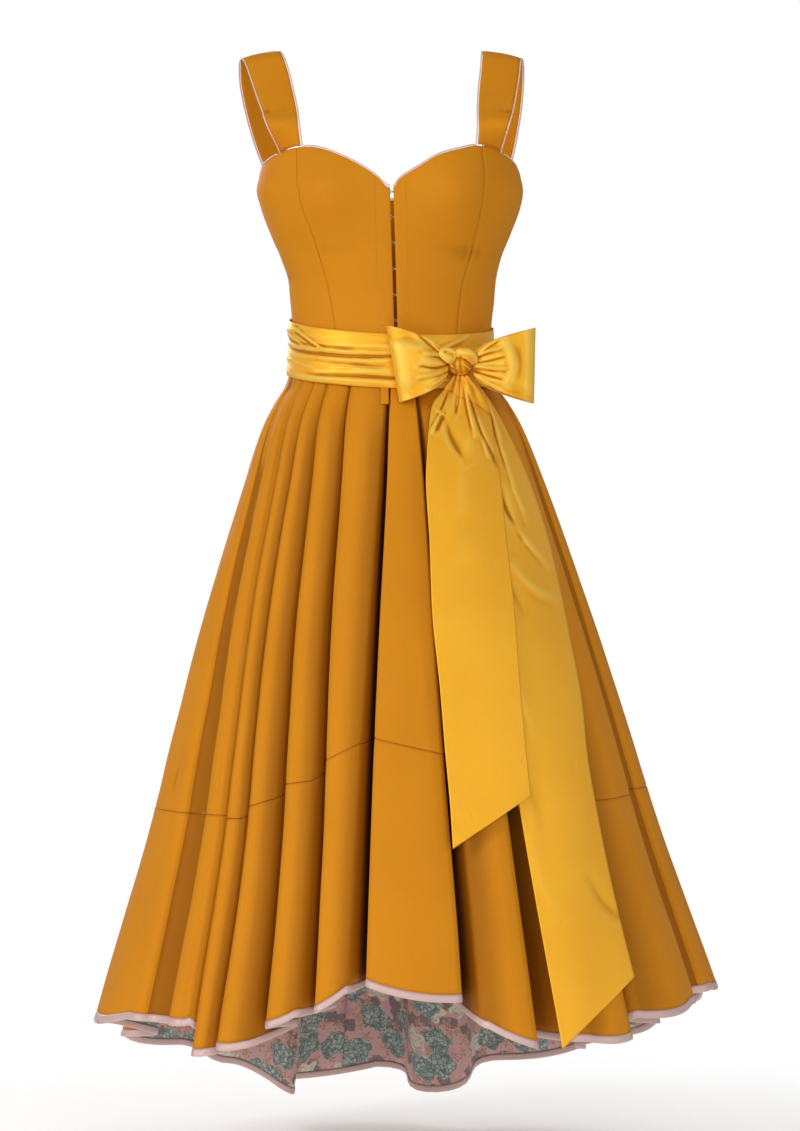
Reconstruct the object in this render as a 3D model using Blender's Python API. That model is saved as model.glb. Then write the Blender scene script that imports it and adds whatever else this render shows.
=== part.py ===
"""A sleeveless high-low dress with a hooked front opening, a sash tied in a bow and a full two-tier skirt.

Everything is a thin wall of cloth at its real size, in metres, +Z up, with the front towards -Y.
The origin is on the shoulder line, midway between the two straps, where the wearer holds it up.
The dress is one body of revolution that has been squashed and folded: RINGS gives its plan at each
height, FOLDS the folds of the skirt, and each panel is a stretch of that form, cut at its seams.
"""
import math
from collections import namedtuple

import bmesh
import bpy
from mathutils import Vector

MM = 0.001

# ---------------------------------------------------------------- cloth and seams, in millimetres
SEAM = 0.3                # gap between two pieces at a seam
TIER_GAP = 0.6            # over the flounce, whose top edge steps inside the folds
BINDING_GAP = 1.0         # over the hem binding, whose wide top edge twists round the folds
CLOTH = 1.5               # wall of the orange cloth
LINING = 1.0              # wall of the printed lining
SATIN = 1.2               # wall of the sash
STRAP_WALL = 2.2          # two layers of cloth
PIPING_RADIUS = 1.0
PIPING_CLEARANCE = 1.6    # from the edge it follows to the middle of the cord
PIPING_BACK_CLEARANCE = 2.2    # where the armhole turns up from the side to the back
PIPING_END_RISE = 2.6     # at the back end of a strap
BINDING_HEIGHT = 9.0
WIRE_RADIUS = 0.6         # hooks and eyes

# ---------------------------------------------------------------- the plan of the form at each height
# z and sizes in mm; power 2 is an ellipse, more than 2 has a flatter front and fuller sides
Ring = namedtuple("Ring", "z half_width centre front back power")
RINGS = [
    Ring(-100, 150.0, -4.0, 100, 84, 2.4),
    Ring(-130, 158.0, -2.0, 108, 90, 2.4),
    Ring(-145, 162.0, -2.0, 113, 94, 2.4),
    Ring(-162, 167.5, -1.5, 116, 97, 2.4),
    Ring(-178, 170.5, -1.5, 118, 99, 2.4),
    Ring(-200, 166.0, -0.6, 117, 100, 2.35),
    Ring(-235, 153.0, -0.6, 112, 99, 2.25),
    Ring(-265, 140.5, 0.0, 106, 97, 2.15),
    Ring(-295, 132.5, 1.5, 101, 96, 2.1),
    Ring(-320, 130.5, 1.5, 98.5, 95, 2.0),
    Ring(-345, 128.0, 1.0, 97, 94.5, 2.0),
    Ring(-372, 127.0, 0.0, 96.5, 95, 2.0),
    Ring(-400, 128.0, 0.0, 97.5, 96, 2.0),
    Ring(-425, 134.0, 0.0, 102, 101, 2.0),
    Ring(-450, 150.0, 1.0, 114, 115, 2.0),
    Ring(-480, 166.0, 2.0, 129, 131, 2.0),
    Ring(-550, 191.5, 4.5, 154, 158, 2.0),
    Ring(-690, 237.5, 6.5, 200, 206, 2.0),
    Ring(-850, 285.5, 11.5, 250, 258, 2.0),
    Ring(-1000, 327.5, 16.5, 293, 304, 2.0),
    Ring(-1190, 388.0, 22.0, 350, 362, 2.0),
    Ring(-1380, 445.0, 25.0, 402, 415, 2.0),
]

# ---------------------------------------------------------------- the bodice
CUP_CENTRE_X = 84.0
CUP_CENTRE_Z = -188.0
CUP_SPREAD_X = 40.0
CUP_SPREAD_Z = 46.0
CUP_DEPTH = 15.0
CUP_FADE = 60.0           # the cups fade out this far in front of the side line
FRONT_OPENING = 4.0
OPENING_TOP_X = 1.0
OPENING_BOTTOM_X = 7.6
OPENING_TOP_Z = -184.0
OPENING_BOTTOM_Z = -400.0

# the princess seams, from the top edge to the waist
Princess = namedtuple("Princess", "z left right")
PRINCESS = [
    Princess(-125, -119.0, 114.0),
    Princess(-168, -118.5, 118.0),
    Princess(-203, -113.5, 115.0),
    Princess(-236, -101.0, 108.0),
    Princess(-274, -88.5, 98.0),
    Princess(-312, -78.5, 89.0),
    Princess(-359, -71.0, 84.0),
    Princess(-410, -68.0, 82.0),
]
BACK_SEAM_TOP_X = 88.0
BACK_SEAM_TOP_Z = -175.0
BACK_SEAM_WAIST_X = 52.0
SIDE_SEAM_ANGLE = 90.0
SEAM_RADIUS = 130.0       # of the bodice, by which a seam's gap becomes an angle

# the top edge across the front, read by x, and round the sides and back, read by angle from the front
Edge = namedtuple("Edge", "at z")
NECKLINE = [
    Edge(-163, -147), Edge(-152, -141), Edge(-139, -136), Edge(-126, -131.5), Edge(-114, -130.5),
    Edge(-101, -131), Edge(-88, -133.5), Edge(-63, -143.5), Edge(-37, -157), Edge(-18, -170),
    Edge(-1, -184.5), Edge(3, -184.5), Edge(10, -174.5), Edge(36, -157), Edge(61, -142),
    Edge(88, -133.5), Edge(110, -128.5), Edge(123, -129), Edge(139, -135), Edge(152, -142.5),
    Edge(161, -150), Edge(166, -160),
]
BACK_EDGE = [Edge(90, -160), Edge(105, -176), Edge(122, -180), Edge(140, -178), Edge(180, -180)]
EDGE_JOIN_FROM = 80.0     # degrees from the front at which the front edge starts to meet the back one

# ---------------------------------------------------------------- waist and sash
WAIST_Z = -385.0
WAIST_DIP = 15.0          # the seam is lower in front than behind by twice this
SASH_Z = -383.0
SASH_DIP = 18.0
SASH_TILT = 5.5           # lower towards +X
SASH_HEIGHT = 70.0
SASH_CLEARANCE = 2.4
SASH_COLUMNS = 40
SASH_END_GAP = 0.15       # degrees between each end of the band and the middle of the knot
SASH_WAVER = 0.35         # how much its ridges swell and sink on their way round
# the crushed folds of the band: share of its height, and how far each ridge stands out
Ridge = namedtuple("Ridge", "share lift")
SASH_RIDGES = [Ridge(0.0, 0.0), Ridge(0.22, 3.2), Ridge(0.45, 0.8), Ridge(0.7, 3.6), Ridge(1.0, 0.0)]
TAB_X = -7.5
TAB_WIDTH = 10.0
TAB_TOP = -356.0
TAB_BOTTOM = -456.0
TAB_WALL = 0.8
TAB_LIFT_FROM = -396.0    # below here it lies on the pleats, which stand further out
TAB_LIFT_BELOW = 0.9

# ---------------------------------------------------------------- the skirt's folds
# each row is one inward fold: its angle from the front at the waist and at the hem, half its mouth
# in degrees, its depth at the hem, how much lower the hem hangs on its floor, and its steep side: 1
# towards +X at the front, -1 towards -X, 0 for a fold that is the same on both sides; it deepens from
# nothing at the waist
Fold = namedtuple("Fold", "waist hem mouth depth drop steep")
FOLDS = [
    Fold(-76, -53.5, 8.5, 24, 2, 0),
    Fold(-58, -40.6, 2.2, 46, 0, 1),
    Fold(-47, -35.3, 2.2, 74, 0, 1),
    Fold(-37, -25.9, 3.2, 86, 0, 1),
    Fold(-22, -16.9, 3.0, 86, 0, 1),
    Fold(1, -7.7, 3.0, 104, 0, 1),
    Fold(12, 9.6, 3.6, 86, 0, -1),
    Fold(32, 22.6, 8.0, 92, -6, -1),
    Fold(52, 42.5, 3.0, 58, 0, -1),
    Fold(75, 72.0, 8.0, 22, 0, 0),
    Fold(99, 98.0, 6.0, 60, 4, 0),
    Fold(120, 120.0, 6.0, 70, 4, 0),
    Fold(142, 142.0, 5.0, 42, 0, 0),
    Fold(172, 174.0, 12.0, 76, 32, 0),
    Fold(204, 203.5, 10.0, 76, 18, -1),
    Fold(226, 224.5, 4.2, 44, 0, 0),
    Fold(250, 252.0, 6.0, 62, 4, 0),
    Fold(267, 273.0, 6.0, 38, 0, 0),
]
# across a fold with a steep side: place in half mouths and share of its depth; the cloth rolls in
# gently from one side and comes out straight behind the edge of the next crest
Across = namedtuple("Across", "step sideways depth")
STEEP_FOLD = [
    Across(-1.0, -1.3, 0.0), Across(-0.68, -1.02, 0.08), Across(-0.36, -0.77, 0.3),
    Across(-0.12, -0.6, 0.56), Across(0.12, -0.46, 0.85), Across(0.36, -0.28, 1.0),
    Across(0.68, -0.1, 0.5), Across(1.0, 0.0, 0.0),
]
# the crest after each fold: heights of the lower tier's seam and of the hem where it starts and ends
Crest = namedtuple("Crest", "seam_start seam_end hem_start hem_end")
CRESTS = [
    Crest(-964, -964, -1217, -1215),
    Crest(-967, -967, -1250, -1249),
    Crest(-951, -943, -1240, -1237),
    Crest(-923, -919, -1212, -1198),
    Crest(-893, -874, -1192, -1169),
    Crest(-867, -886, -1160, -1178),
    Crest(-897, -915, -1210, -1234),
    Crest(-950, -953, -1230, -1231),
    Crest(-947, -944, -1208, -1201),
    Crest(-938, -938, -1193, -1190),
    Crest(-946, -952, -1212, -1234),
    Crest(-970, -982, -1268, -1294),
    Crest(-1000, -1014, -1316, -1338),
    Crest(-1026, -1032, -1350, -1364),
    Crest(-1012, -1004, -1334, -1322),
    Crest(-990, -978, -1302, -1277),
    Crest(-968, -966, -1252, -1238),
    Crest(-964, -964, -1228, -1218),
]
FOLD_ROUNDNESS = 0.15          # how far a fold's walls stay apart between a wide mouth and a wide floor
FOLD_GROWTH = 0.8              # power by which a fold deepens on its way down
FOLD_STEPS = (-1.0, -0.68, -0.36, -0.12, 0.12, 0.36, 0.68, 1.0)
CREST_STEP_DEGREES = 11.0      # the widest stretch of cloth between two stations
WAIST_TO_HEM_WIDTH = 0.33      # width at the waist over width at the hem
UPPER_SHARES = (0.0, 0.035, 0.07, 0.14, 0.3, 0.62, 1.0)
LOWER_SHARES = (0.0, 0.5, 1.0)
# the skirt's four panels meet at the sides, at the middle of the back, and in front on the floor of the
# deepest fold, where the front opening runs on into the skirt
RIGHT_SEAM = 84.0
BACK_SEAM = 192.0
LEFT_SEAM = 262.0
FRONT_SEAM_FOLD = 5
FRONT_SEAM_STEP = FOLD_STEPS.index(0.36)

# ---------------------------------------------------------------- straps
Strap = namedtuple("Strap", "y inner_x inner_z outer_x outer_z")
STRAP_LEFT = [
    Strap(-88, -116.7, -101, -154.4, -103),
    Strap(-70, -119.6, -80, -160.5, -84),
    Strap(-48, -125.4, -53, -169.7, -58),
    Strap(-28, -132.3, -25, -178.0, -33),
    Strap(-13, -139.0, -6, -185.0, -14),
    Strap(4, -145.0, 1, -190.5, -8),
    Strap(22, -149.0, -6, -193.5, -16),
    Strap(42, -150.0, -27, -193.0, -38),
    Strap(62, -147.5, -58, -187.5, -68),
    Strap(80, -141.0, -98, -177.0, -106),
    Strap(93, -131.0, -140, -162.0, -146),
]
STRAP_RIGHT = [
    Strap(-88, 110.5, -101, 147.0, -103),
    Strap(-70, 110.5, -80, 152.5, -84),
    Strap(-48, 112.3, -53, 157.7, -58),
    Strap(-28, 115.4, -25, 161.8, -33),
    Strap(-13, 116.9, -6, 164.0, -14),
    Strap(4, 118.5, 1, 166.5, -8),
    Strap(22, 121.0, -6, 168.8, -16),
    Strap(42, 123.5, -27, 169.2, -38),
    Strap(62, 124.0, -58, 167.0, -68),
    Strap(80, 122.0, -98, 161.0, -106),
    Strap(93, 117.0, -140, 152.0, -146),
]
STRAP_RISE = 1.6          # of its ends over the curved top edge
STRAP_CROWN = 1.5         # how much its middle stands over its edges at the shoulder
STRAP_DEPTH = 90.0        # from the shoulder line to either end
# where each strap's ends meet the top edge: x across the front, degrees across the back
StrapEnd = namedtuple("StrapEnd", "front_inner front_outer back_inner back_outer")
STRAP_END_LEFT = StrapEnd(-114.5, -138.5, -140.5, -123.5)
STRAP_END_RIGHT = StrapEnd(110.5, 138.0, 141.0, 123.0)

# ---------------------------------------------------------------- bow and tails
KNOT_ANGLE = 36.0         # its place on the sash, degrees from the front
KNOT_DROP = -6.0
KNOT_SIZE = (15.4, 12.5, 13.5)
KNOT_BACK = 17.0          # how far it reaches back to the sash
KNOT_CLEARANCE = 2.4      # from the highest ridge of the sash to the knot
KNOT_GROOVE = 0.16
BOW_TURN = 12.0           # degrees the bow turns back towards the side
BOW_TILT = 6.0            # how far its lower edge stands in front of its middle
LOOP_ROOT = 15.5
LOOP_ROOT_HALF = 9.0
Loop = namedtuple("Loop", "top_reach bottom_reach half_height")
LOOP_LEFT = Loop(93.0, 79.0, 48.0)
LOOP_RIGHT = Loop(99.0, 94.0, 48.0)
# the ribbon's way round a loop: share of its reach, and how far it stands in front of the bow's plane
Way = namedtuple("Way", "reach stand")
LOOP_WAY = [
    Way(0.0, 3.5), Way(0.2, 13.0), Way(0.5, 20.0), Way(0.8, 18.0), Way(0.97, 9.0), Way(1.0, 2.0),
    Way(0.97, -3.0), Way(0.8, -4.0), Way(0.45, -4.5), Way(0.2, -4.0), Way(0.0, -3.0),
]
LOOP_ROWS = (-1.0, -0.6, -0.2, 0.2, 0.6, 1.0)
LOOP_CREASE = 3.0
LOOP_CREASE_TURNS = 1.25
LOOP_OPENING_POWER = 0.5  # how soon a loop opens to its full height

Tail = namedtuple("Tail", "left_x left_z right_x right_z")
TAIL_SHORT = [
    Tail(79, -419, 97, -419), Tail(66, -437, 113, -437), Tail(51.4, -459, 123.5, -458),
    Tail(45, -519, 131, -512), Tail(43.7, -554, 137, -550), Tail(47.8, -627, 144.5, -627),
    Tail(50.7, -709, 153, -709), Tail(60.2, -806, 159.5, -807), Tail(66.5, -885, 166, -885),
    Tail(72, -945, 170.8, -934.9), Tail(75.3, -998, 170.9, -936.5),
]
TAIL_LONG = [
    Tail(83, -419, 101, -419), Tail(81, -437, 116, -437), Tail(80.4, -455, 127.6, -453),
    Tail(83.9, -489, 146.5, -487), Tail(88.6, -549, 174.1, -548), Tail(95.7, -613, 195.3, -612),
    Tail(104, -672, 209.8, -672), Tail(117.1, -751, 225, -752), Tail(130.1, -823, 237.7, -825),
    Tail(143.1, -888, 243.3, -891), Tail(156.1, -948, 254.1, -958), Tail(166.5, -1010, 267.9, -1031),
    Tail(180, -1088, 282, -1095), Tail(196.2, -1179, 296.8, -1156), Tail(206, -1235, 297, -1158),
]
TAIL_COLUMNS = 3
TAIL_CLEARANCE_LONG = 3.0
TAIL_CLEARANCE_SHORT = 8.0
TAIL_WAVE = 2.0
TAIL_GATHERED_ROWS = 4    # rows over which a tail comes forward into the knot
TAIL_STEP_BACK = 3.0      # of the rear tail behind the bow's plane

# ---------------------------------------------------------------- hooks
HOOK_COUNT = 6
HOOK_TOP_Z = -189.5
HOOK_SPACING = 32.0
HOOK_BEND = 2.2           # half the width of the bent wire
HOOK_REACH = 5.0          # how far each half lies behind its front edge
HOOK_INSIDE = 0.4         # clearance behind the cloth
HOOK_OVERHANG = 0.8       # from the bend to the middle of the opening

# colour, roughness, metallic
FINISHES = {
    "cloth": ((0.76, 0.29, 0.018), 0.75, 0.0),
    "satin": ((0.90, 0.44, 0.035), 0.35, 0.0),
    "piping": ((0.86, 0.60, 0.50), 0.5, 0.0),
    "binding": ((0.66, 0.46, 0.42), 0.4, 0.0),
    "lining": ((0.42, 0.27, 0.28), 0.7, 0.0),
    "wire": ((0.10, 0.07, 0.06), 0.35, 1.0),
}


# ================================================================ reading the tables
def read(rows, key, at, field):
    """Smooth value of one column: a Hermite curve through the rows, flat past both ends."""
    first, last = rows[0], rows[-1]
    if (at - getattr(first, key)) * (getattr(last, key) - getattr(first, key)) <= 0:
        return getattr(first, field)
    if (at - getattr(last, key)) * (getattr(last, key) - getattr(first, key)) >= 0:
        return getattr(last, field)
    count = len(rows)
    for index in range(count - 1):
        x0, x1 = getattr(rows[index], key), getattr(rows[index + 1], key)
        if min(x0, x1) <= at <= max(x0, x1):
            break
    y0, y1 = getattr(rows[index], field), getattr(rows[index + 1], field)
    before, after = rows[max(index - 1, 0)], rows[min(index + 2, count - 1)]
    rise = (y1 - y0) / (x1 - x0)
    slope0 = gentle((y0 - getattr(before, field)) / ((x0 - getattr(before, key)) or 1.0), rise)
    slope1 = gentle((getattr(after, field) - y1) / ((getattr(after, key) - x1) or 1.0), rise)
    if index == 0:
        slope0 = rise
    if index == count - 2:
        slope1 = rise
    t = (at - x0) / (x1 - x0)
    span = x1 - x0
    return ((2 * t ** 3 - 3 * t ** 2 + 1) * y0 + (t ** 3 - 2 * t ** 2 + t) * span * slope0
            + (3 * t ** 2 - 2 * t ** 3) * y1 + (t ** 3 - t ** 2) * span * slope1)


def gentle(one, other):
    """Slope at a row between two rises: their harmonic mean, and flat where they turn round."""
    if one * other <= 0:
        return 0.0
    return 2 * one * other / (one + other)


def mix(a, b, share):
    return a + (b - a) * share


# ================================================================ the form
def ring_point(degrees, z):
    """A point of the outer face of the form, unfolded, in mm."""
    half_width, centre, front, back, power = (
        read(RINGS, "z", z, field) for field in ("half_width", "centre", "front", "back", "power"))
    angle = math.radians(degrees)
    side, ahead = math.sin(angle), math.cos(angle)
    x = centre + half_width * math.copysign(abs(side) ** (2 / power), side)
    depth = front if ahead > 0 else back
    y = -depth * math.copysign(abs(ahead) ** (2 / power), ahead)
    return Vector((x, y, z))


def bodice_point(degrees, z):
    """The form with the two cups that the princess seams shape."""
    point = ring_point(degrees, z)
    if point.y < 0:
        for centre in (-CUP_CENTRE_X, CUP_CENTRE_X):
            away_x = (point.x - centre) / CUP_SPREAD_X
            away_z = (z - CUP_CENTRE_Z) / CUP_SPREAD_Z
            fade = min(1.0, -point.y / CUP_FADE)
            point.y -= CUP_DEPTH * fade * math.exp(-away_x ** 2 - away_z ** 2)
    return point


def angle_at(x, z):
    """Degrees from the front at which the form has this x."""
    half_width, centre, power = (read(RINGS, "z", z, field) for field in ("half_width", "centre", "power"))
    side = max(-1.0, min(1.0, (x - centre) / half_width))
    return math.degrees(math.asin(math.copysign(abs(side) ** (power / 2), side)))


def facing(place, a, b, step_a=0.5, step_b=1.0):
    """Outward normal of place(a, b), by differences."""
    along_a = place(a + step_a, b) - place(a - step_a, b)
    along_b = place(a, b + step_b) - place(a, b - step_b)
    return along_a.cross(along_b).normalized()


def lifted(place, a, b, lift):
    return place(a, b) + facing(place, a, b) * lift


def waist_z(degrees):
    return WAIST_Z - WAIST_DIP * math.cos(math.radians(degrees))


def top_edge_z(degrees):
    """Height of the bodice's top edge at this angle."""
    turned = (degrees + 180) % 360 - 180
    if abs(turned) > SIDE_SEAM_ANGLE:
        return read(BACK_EDGE, "at", abs(turned), "z")
    z = -150.0
    for _ in range(6):
        z = read(NECKLINE, "at", bodice_point(turned, z).x, "z")
    share = max(0.0, (abs(turned) - EDGE_JOIN_FROM) / (SIDE_SEAM_ANGLE - EDGE_JOIN_FROM))
    return mix(z, BACK_EDGE[0].z, share * share)


# ================================================================ building walls
def collection(name):
    made = bpy.data.collections.new(name)
    bpy.context.scene.collection.children.link(made)
    return made


def finish(name):
    """The Principled material of one finish, made once for each piece."""
    colour, roughness, metallic = FINISHES[name]
    material = bpy.data.materials.new(name)
    material.use_nodes = True
    shader = material.node_tree.nodes["Principled BSDF"]
    shader.inputs["Base Color"].default_value = (*colour, 1.0)
    shader.inputs["Roughness"].default_value = roughness
    shader.inputs["Metallic"].default_value = metallic
    return material


def add_object(name, bm, look, smooth=True):
    mesh = bpy.data.meshes.new(name)
    bm.to_mesh(mesh)
    bm.free()
    piece = bpy.data.objects.new(name, mesh)
    mesh.materials.append(finish(look))
    if smooth:
        mesh.shade_smooth()
        mesh.set_sharp_from_angle(angle=math.radians(50))
    DRESS.objects.link(piece)
    return piece


def wall(name, outer, inner, look, mirrored=()):
    """A closed wall of cloth lofted between two grids of points in mm, outer face and inner face.

    Both grids are lists of rows, from the top down, and each row runs from -X round the front to +X.
    Each cell is cut along the same diagonal on both faces, so the wall keeps its thickness in a twist.
    In the mirrored columns, those of folds that lean the other way, it is the other diagonal.
    """
    bm = bmesh.new()
    rows, columns = len(outer), len(outer[0])
    face_out = [[bm.verts.new(point * MM) for point in row] for row in outer]
    face_in = [[bm.verts.new(point * MM) for point in row] for row in inner]
    for j in range(rows - 1):
        for i in range(columns - 1):
            halves = ((0, 1, 3), (1, 2, 3)) if i in mirrored else ((0, 1, 2), (0, 2, 3))
            for face, turn in ((face_out, 1), (face_in, -1)):
                cell = (face[j][i], face[j + 1][i], face[j + 1][i + 1], face[j][i + 1])
                for half in halves:
                    bm.faces.new([cell[corner] for corner in half[::turn]])
    rim = ([(0, i) for i in range(columns)] + [(j, columns - 1) for j in range(1, rows)]
           + [(rows - 1, i) for i in range(columns - 2, -1, -1)] + [(j, 0) for j in range(rows - 2, 0, -1)])
    for here, there in zip(rim, rim[1:] + rim[:1]):
        out_a, out_b = face_out[here[0]][here[1]], face_out[there[0]][there[1]]
        in_a, in_b = face_in[here[0]][here[1]], face_in[there[0]][there[1]]
        if here < there:
            bm.faces.new((out_a, out_b, in_b))
            bm.faces.new((out_a, in_b, in_a))
        else:
            bm.faces.new((out_a, out_b, in_a))
            bm.faces.new((out_b, in_b, in_a))
    return add_object(name, bm, look)


def tube(name, points, radius, look, sides_resolution=0):
    """A round cord or wire through points in mm."""
    curve = bpy.data.curves.new(name, "CURVE")
    curve.dimensions = "3D"
    curve.bevel_depth = radius * MM
    curve.bevel_resolution = sides_resolution
    curve.use_fill_caps = True
    spline = curve.splines.new("POLY")
    spline.points.add(len(points) - 1)
    for slot, point in zip(spline.points, points):
        slot.co = (*(point * MM), 1.0)
    curve.materials.append(finish(look))
    piece = bpy.data.objects.new(name, curve)
    DRESS.objects.link(piece)
    return piece


def spread(start, end, steps):
    return [mix(start, end, k / steps) for k in range(steps + 1)]


# ================================================================ bodice
def opening_x(z, side):
    """The edge of the front opening: side is -1 for the left front and +1 for the right."""
    share = (z - OPENING_TOP_Z) / (OPENING_BOTTOM_Z - OPENING_TOP_Z)
    return mix(OPENING_TOP_X, OPENING_BOTTOM_X, share) + side * FRONT_OPENING / 2


def back_seam_angle(z, side):
    share = (z - BACK_SEAM_TOP_Z) / (WAIST_Z - BACK_SEAM_TOP_Z)
    x = mix(BACK_SEAM_TOP_X, BACK_SEAM_WAIST_X, share) * side
    return side * 180.0 - angle_at(x, z)


def panel(name, left_angle, right_angle, columns, rows, look="cloth"):
    """One panel of the bodice between two seams, each given as a function of height."""
    outer, inner = [], []
    for j in range(rows + 1):
        line_out, line_in = [], []
        for i in range(columns + 1):
            z = -250.0
            for _ in range(8):
                angle = mix(left_angle(z), right_angle(z), i / columns)
                top = top_edge_z(angle)
                bottom = waist_z(angle) + SEAM
                z = mix(top, bottom, j / rows)
            angle = mix(left_angle(z), right_angle(z), i / columns)
            seam_shift = math.degrees(SEAM / 2 / SEAM_RADIUS)
            if i == 0:
                angle += seam_shift
            if i == columns:
                angle -= seam_shift
            line_out.append(bodice_point(angle, z))
            line_in.append(lifted(bodice_point, angle, z, -CLOTH))
        outer.append(line_out)
        inner.append(line_in)
    return wall(name, outer, inner, look)


def make_bodice():
    def princess(side):
        field = "left" if side < 0 else "right"
        return lambda z: angle_at(read(PRINCESS, "z", z, field), z)

    def front_edge(side):
        return lambda z: angle_at(opening_x(z, side), z)

    def back_seam(side, turn=0.0):
        return lambda z: back_seam_angle(z, side) + turn

    panel("bodice_front_left", princess(-1), front_edge(-1), 5, 8)
    panel("bodice_front_right", front_edge(1), princess(1), 5, 8)
    panel("bodice_side_front_left", lambda z: -SIDE_SEAM_ANGLE, princess(-1), 5, 8)
    panel("bodice_side_front_right", princess(1), lambda z: SIDE_SEAM_ANGLE, 5, 8)
    panel("bodice_side_back_right", lambda z: SIDE_SEAM_ANGLE, back_seam(1), 4, 6)
    panel("bodice_back", back_seam(1), back_seam(-1, 360.0), 6, 6)
    panel("bodice_side_back_left", back_seam(-1, 360.0), lambda z: 360.0 - SIDE_SEAM_ANGLE, 4, 6)


# ================================================================ straps and piping
def edge_point(degrees, rise):
    """A point over the top edge of the bodice, at the middle of its wall."""
    return lifted(bodice_point, degrees, top_edge_z(degrees), -CLOTH / 2) + Vector((0, 0, rise))


def front_angle(x):
    z = -140.0
    for _ in range(6):
        degrees = angle_at(x, z)
        z = top_edge_z(degrees)
    return degrees


def strap_rows(rows, end):
    """Three points across the strap at each station, from the front seam over the shoulder to the back."""
    front = [edge_point(front_angle(mix(end.front_inner, end.front_outer, share)), STRAP_RISE)
             for share in (0.0, 0.5, 1.0)]
    back = [edge_point(mix(end.back_inner, end.back_outer, share), STRAP_RISE) for share in (0.0, 0.5, 1.0)]
    lines = [front]
    for row in rows:
        inner = Vector((row.inner_x, row.y, row.inner_z))
        outer = Vector((row.outer_x, row.y, row.outer_z))
        middle = (inner + outer) / 2
        share = min(1.0, max(0.0, (row.y + STRAP_DEPTH) / (2 * STRAP_DEPTH)))
        middle.z += STRAP_CROWN * math.sin(math.pi * share)
        lines.append([inner, middle, outer])
    lines.append(back)
    return lines


def make_strap(name, rows, end, side):
    lines = strap_rows(rows, end)
    grid = [line if side > 0 else line[::-1] for line in reversed(lines)]
    wall(name, *thicken(grid, STRAP_WALL), "cloth")
    return lines


def strap_edge(lines, which, away):
    """The line that piping follows beside one edge of a strap, clear of it by a seam."""
    path = []
    for line in lines:
        across = (line[2] - line[0]).normalized() * (1 if which == 2 else -1)
        path.append(line[which] + across * away)
    return path


def make_piping(lines_left, lines_right):
    rise = away = PIPING_CLEARANCE
    end_rise = Vector((0, 0, PIPING_END_RISE))
    for name, lines, end, side in (("left", lines_left, STRAP_END_LEFT, -1),
                                   ("right", lines_right, STRAP_END_RIGHT, 1)):
        start = front_angle(OPENING_TOP_X + side * FRONT_OPENING / 2)
        stop = front_angle(end.front_inner) - side * 1.6
        neck = [edge_point(angle, rise) for angle in spread(start, stop, 12)]
        inner_edge = strap_edge(lines, 0, away)
        tube("piping_neck_" + name, neck + inner_edge[1:-1] + [inner_edge[-1] + end_rise],
             PIPING_RADIUS, "piping")
        outer_edge = strap_edge(lines, 2, away)
        front_run = spread(front_angle(end.front_outer) + side * 1.6, side * SIDE_SEAM_ANGLE, 6)
        back_run = spread(side * (SIDE_SEAM_ANGLE + 3.0), end.back_outer - side * 2.0, 8)
        around = ([edge_point(angle, rise) for angle in front_run]
                  + [edge_point(angle, PIPING_BACK_CLEARANCE) for angle in back_run])
        tube("piping_armhole_" + name, [outer_edge[-1] + end_rise] + outer_edge[-2:0:-1] + around,
             PIPING_RADIUS, "piping")
    back = spread(STRAP_END_RIGHT.back_inner + 2.0, 360.0 + STRAP_END_LEFT.back_inner - 2.0, 10)
    tube("piping_back", [edge_point(angle, rise) for angle in back], PIPING_RADIUS, "piping")


# ================================================================ hooks and eyes in the opening
def make_hooks():
    for number in range(HOOK_COUNT):
        z = HOOK_TOP_Z - number * HOOK_SPACING
        for kind, side, turn in (("hook", -1, 0.0), ("eye", 1, 1.0)):
            depth = CLOTH + SEAM + WIRE_RADIUS + HOOK_INSIDE
            bend = HOOK_BEND if kind == "hook" else HOOK_BEND - 2 * WIRE_RADIUS - 0.2
            middle = opening_x(z, side) - side * (FRONT_OPENING / 2 - HOOK_OVERHANG)
            far = middle + side * HOOK_REACH
            path = []
            for x, rise in ((far, bend), (middle, bend), (middle, -bend), (far, -bend)):
                angle = angle_at(x, z + rise)
                path.append(lifted(bodice_point, angle, z + rise, -depth - turn * 0.1))
            tube(f"{kind}_{number + 1}", path, WIRE_RADIUS, "wire")


# ================================================================ skirt
def fold_shape(fold, step):
    """One inward fold across: sideways share of its half mouth, and share of its depth."""
    if not fold.steep:
        return step + FOLD_ROUNDNESS * math.sin(2 * math.pi * step), (1 + math.cos(math.pi * step)) / 2
    turned = step * fold.steep
    sideways = read(STEEP_FOLD, "step", turned, "sideways") * fold.steep
    return sideways, read(STEEP_FOLD, "step", turned, "depth")


def fold_edge(fold, step):
    """Degrees from the fold's line to its first or last edge: step is -1 or 1."""
    return fold.mouth * fold_shape(fold, step)[0]


def fold_angle(fold, fall):
    """A fold runs straight down the cloth, so in plan it is a straight line from waist to hem."""
    top, bottom = math.radians(fold.waist), math.radians(fold.hem)
    x = mix(WAIST_TO_HEM_WIDTH * math.sin(top), math.sin(bottom), fall)
    y = mix(WAIST_TO_HEM_WIDTH * math.cos(top), math.cos(bottom), fall)
    degrees = math.degrees(math.atan2(x, y))
    while degrees < fold.hem - 180:
        degrees += 360
    return degrees


def stations():
    """Places round the skirt: (fold, step) inside a fold, or (fold, share of the crest after it)."""
    places = []
    for index, fold in enumerate(FOLDS):
        places += [(index, step, None) for step in FOLD_STEPS]
        following = FOLDS[(index + 1) % len(FOLDS)]
        turn = 360 if index == len(FOLDS) - 1 else 0
        arc = following.hem + turn + fold_edge(following, -1) - fold.hem - fold_edge(fold, 1)
        steps = max(1, math.ceil(arc / CREST_STEP_DEGREES))
        places += [(index, 1.0, k / steps) for k in range(1, steps)]
    return places


def smooth(share):
    return share * share * (3 - 2 * share)


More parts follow.
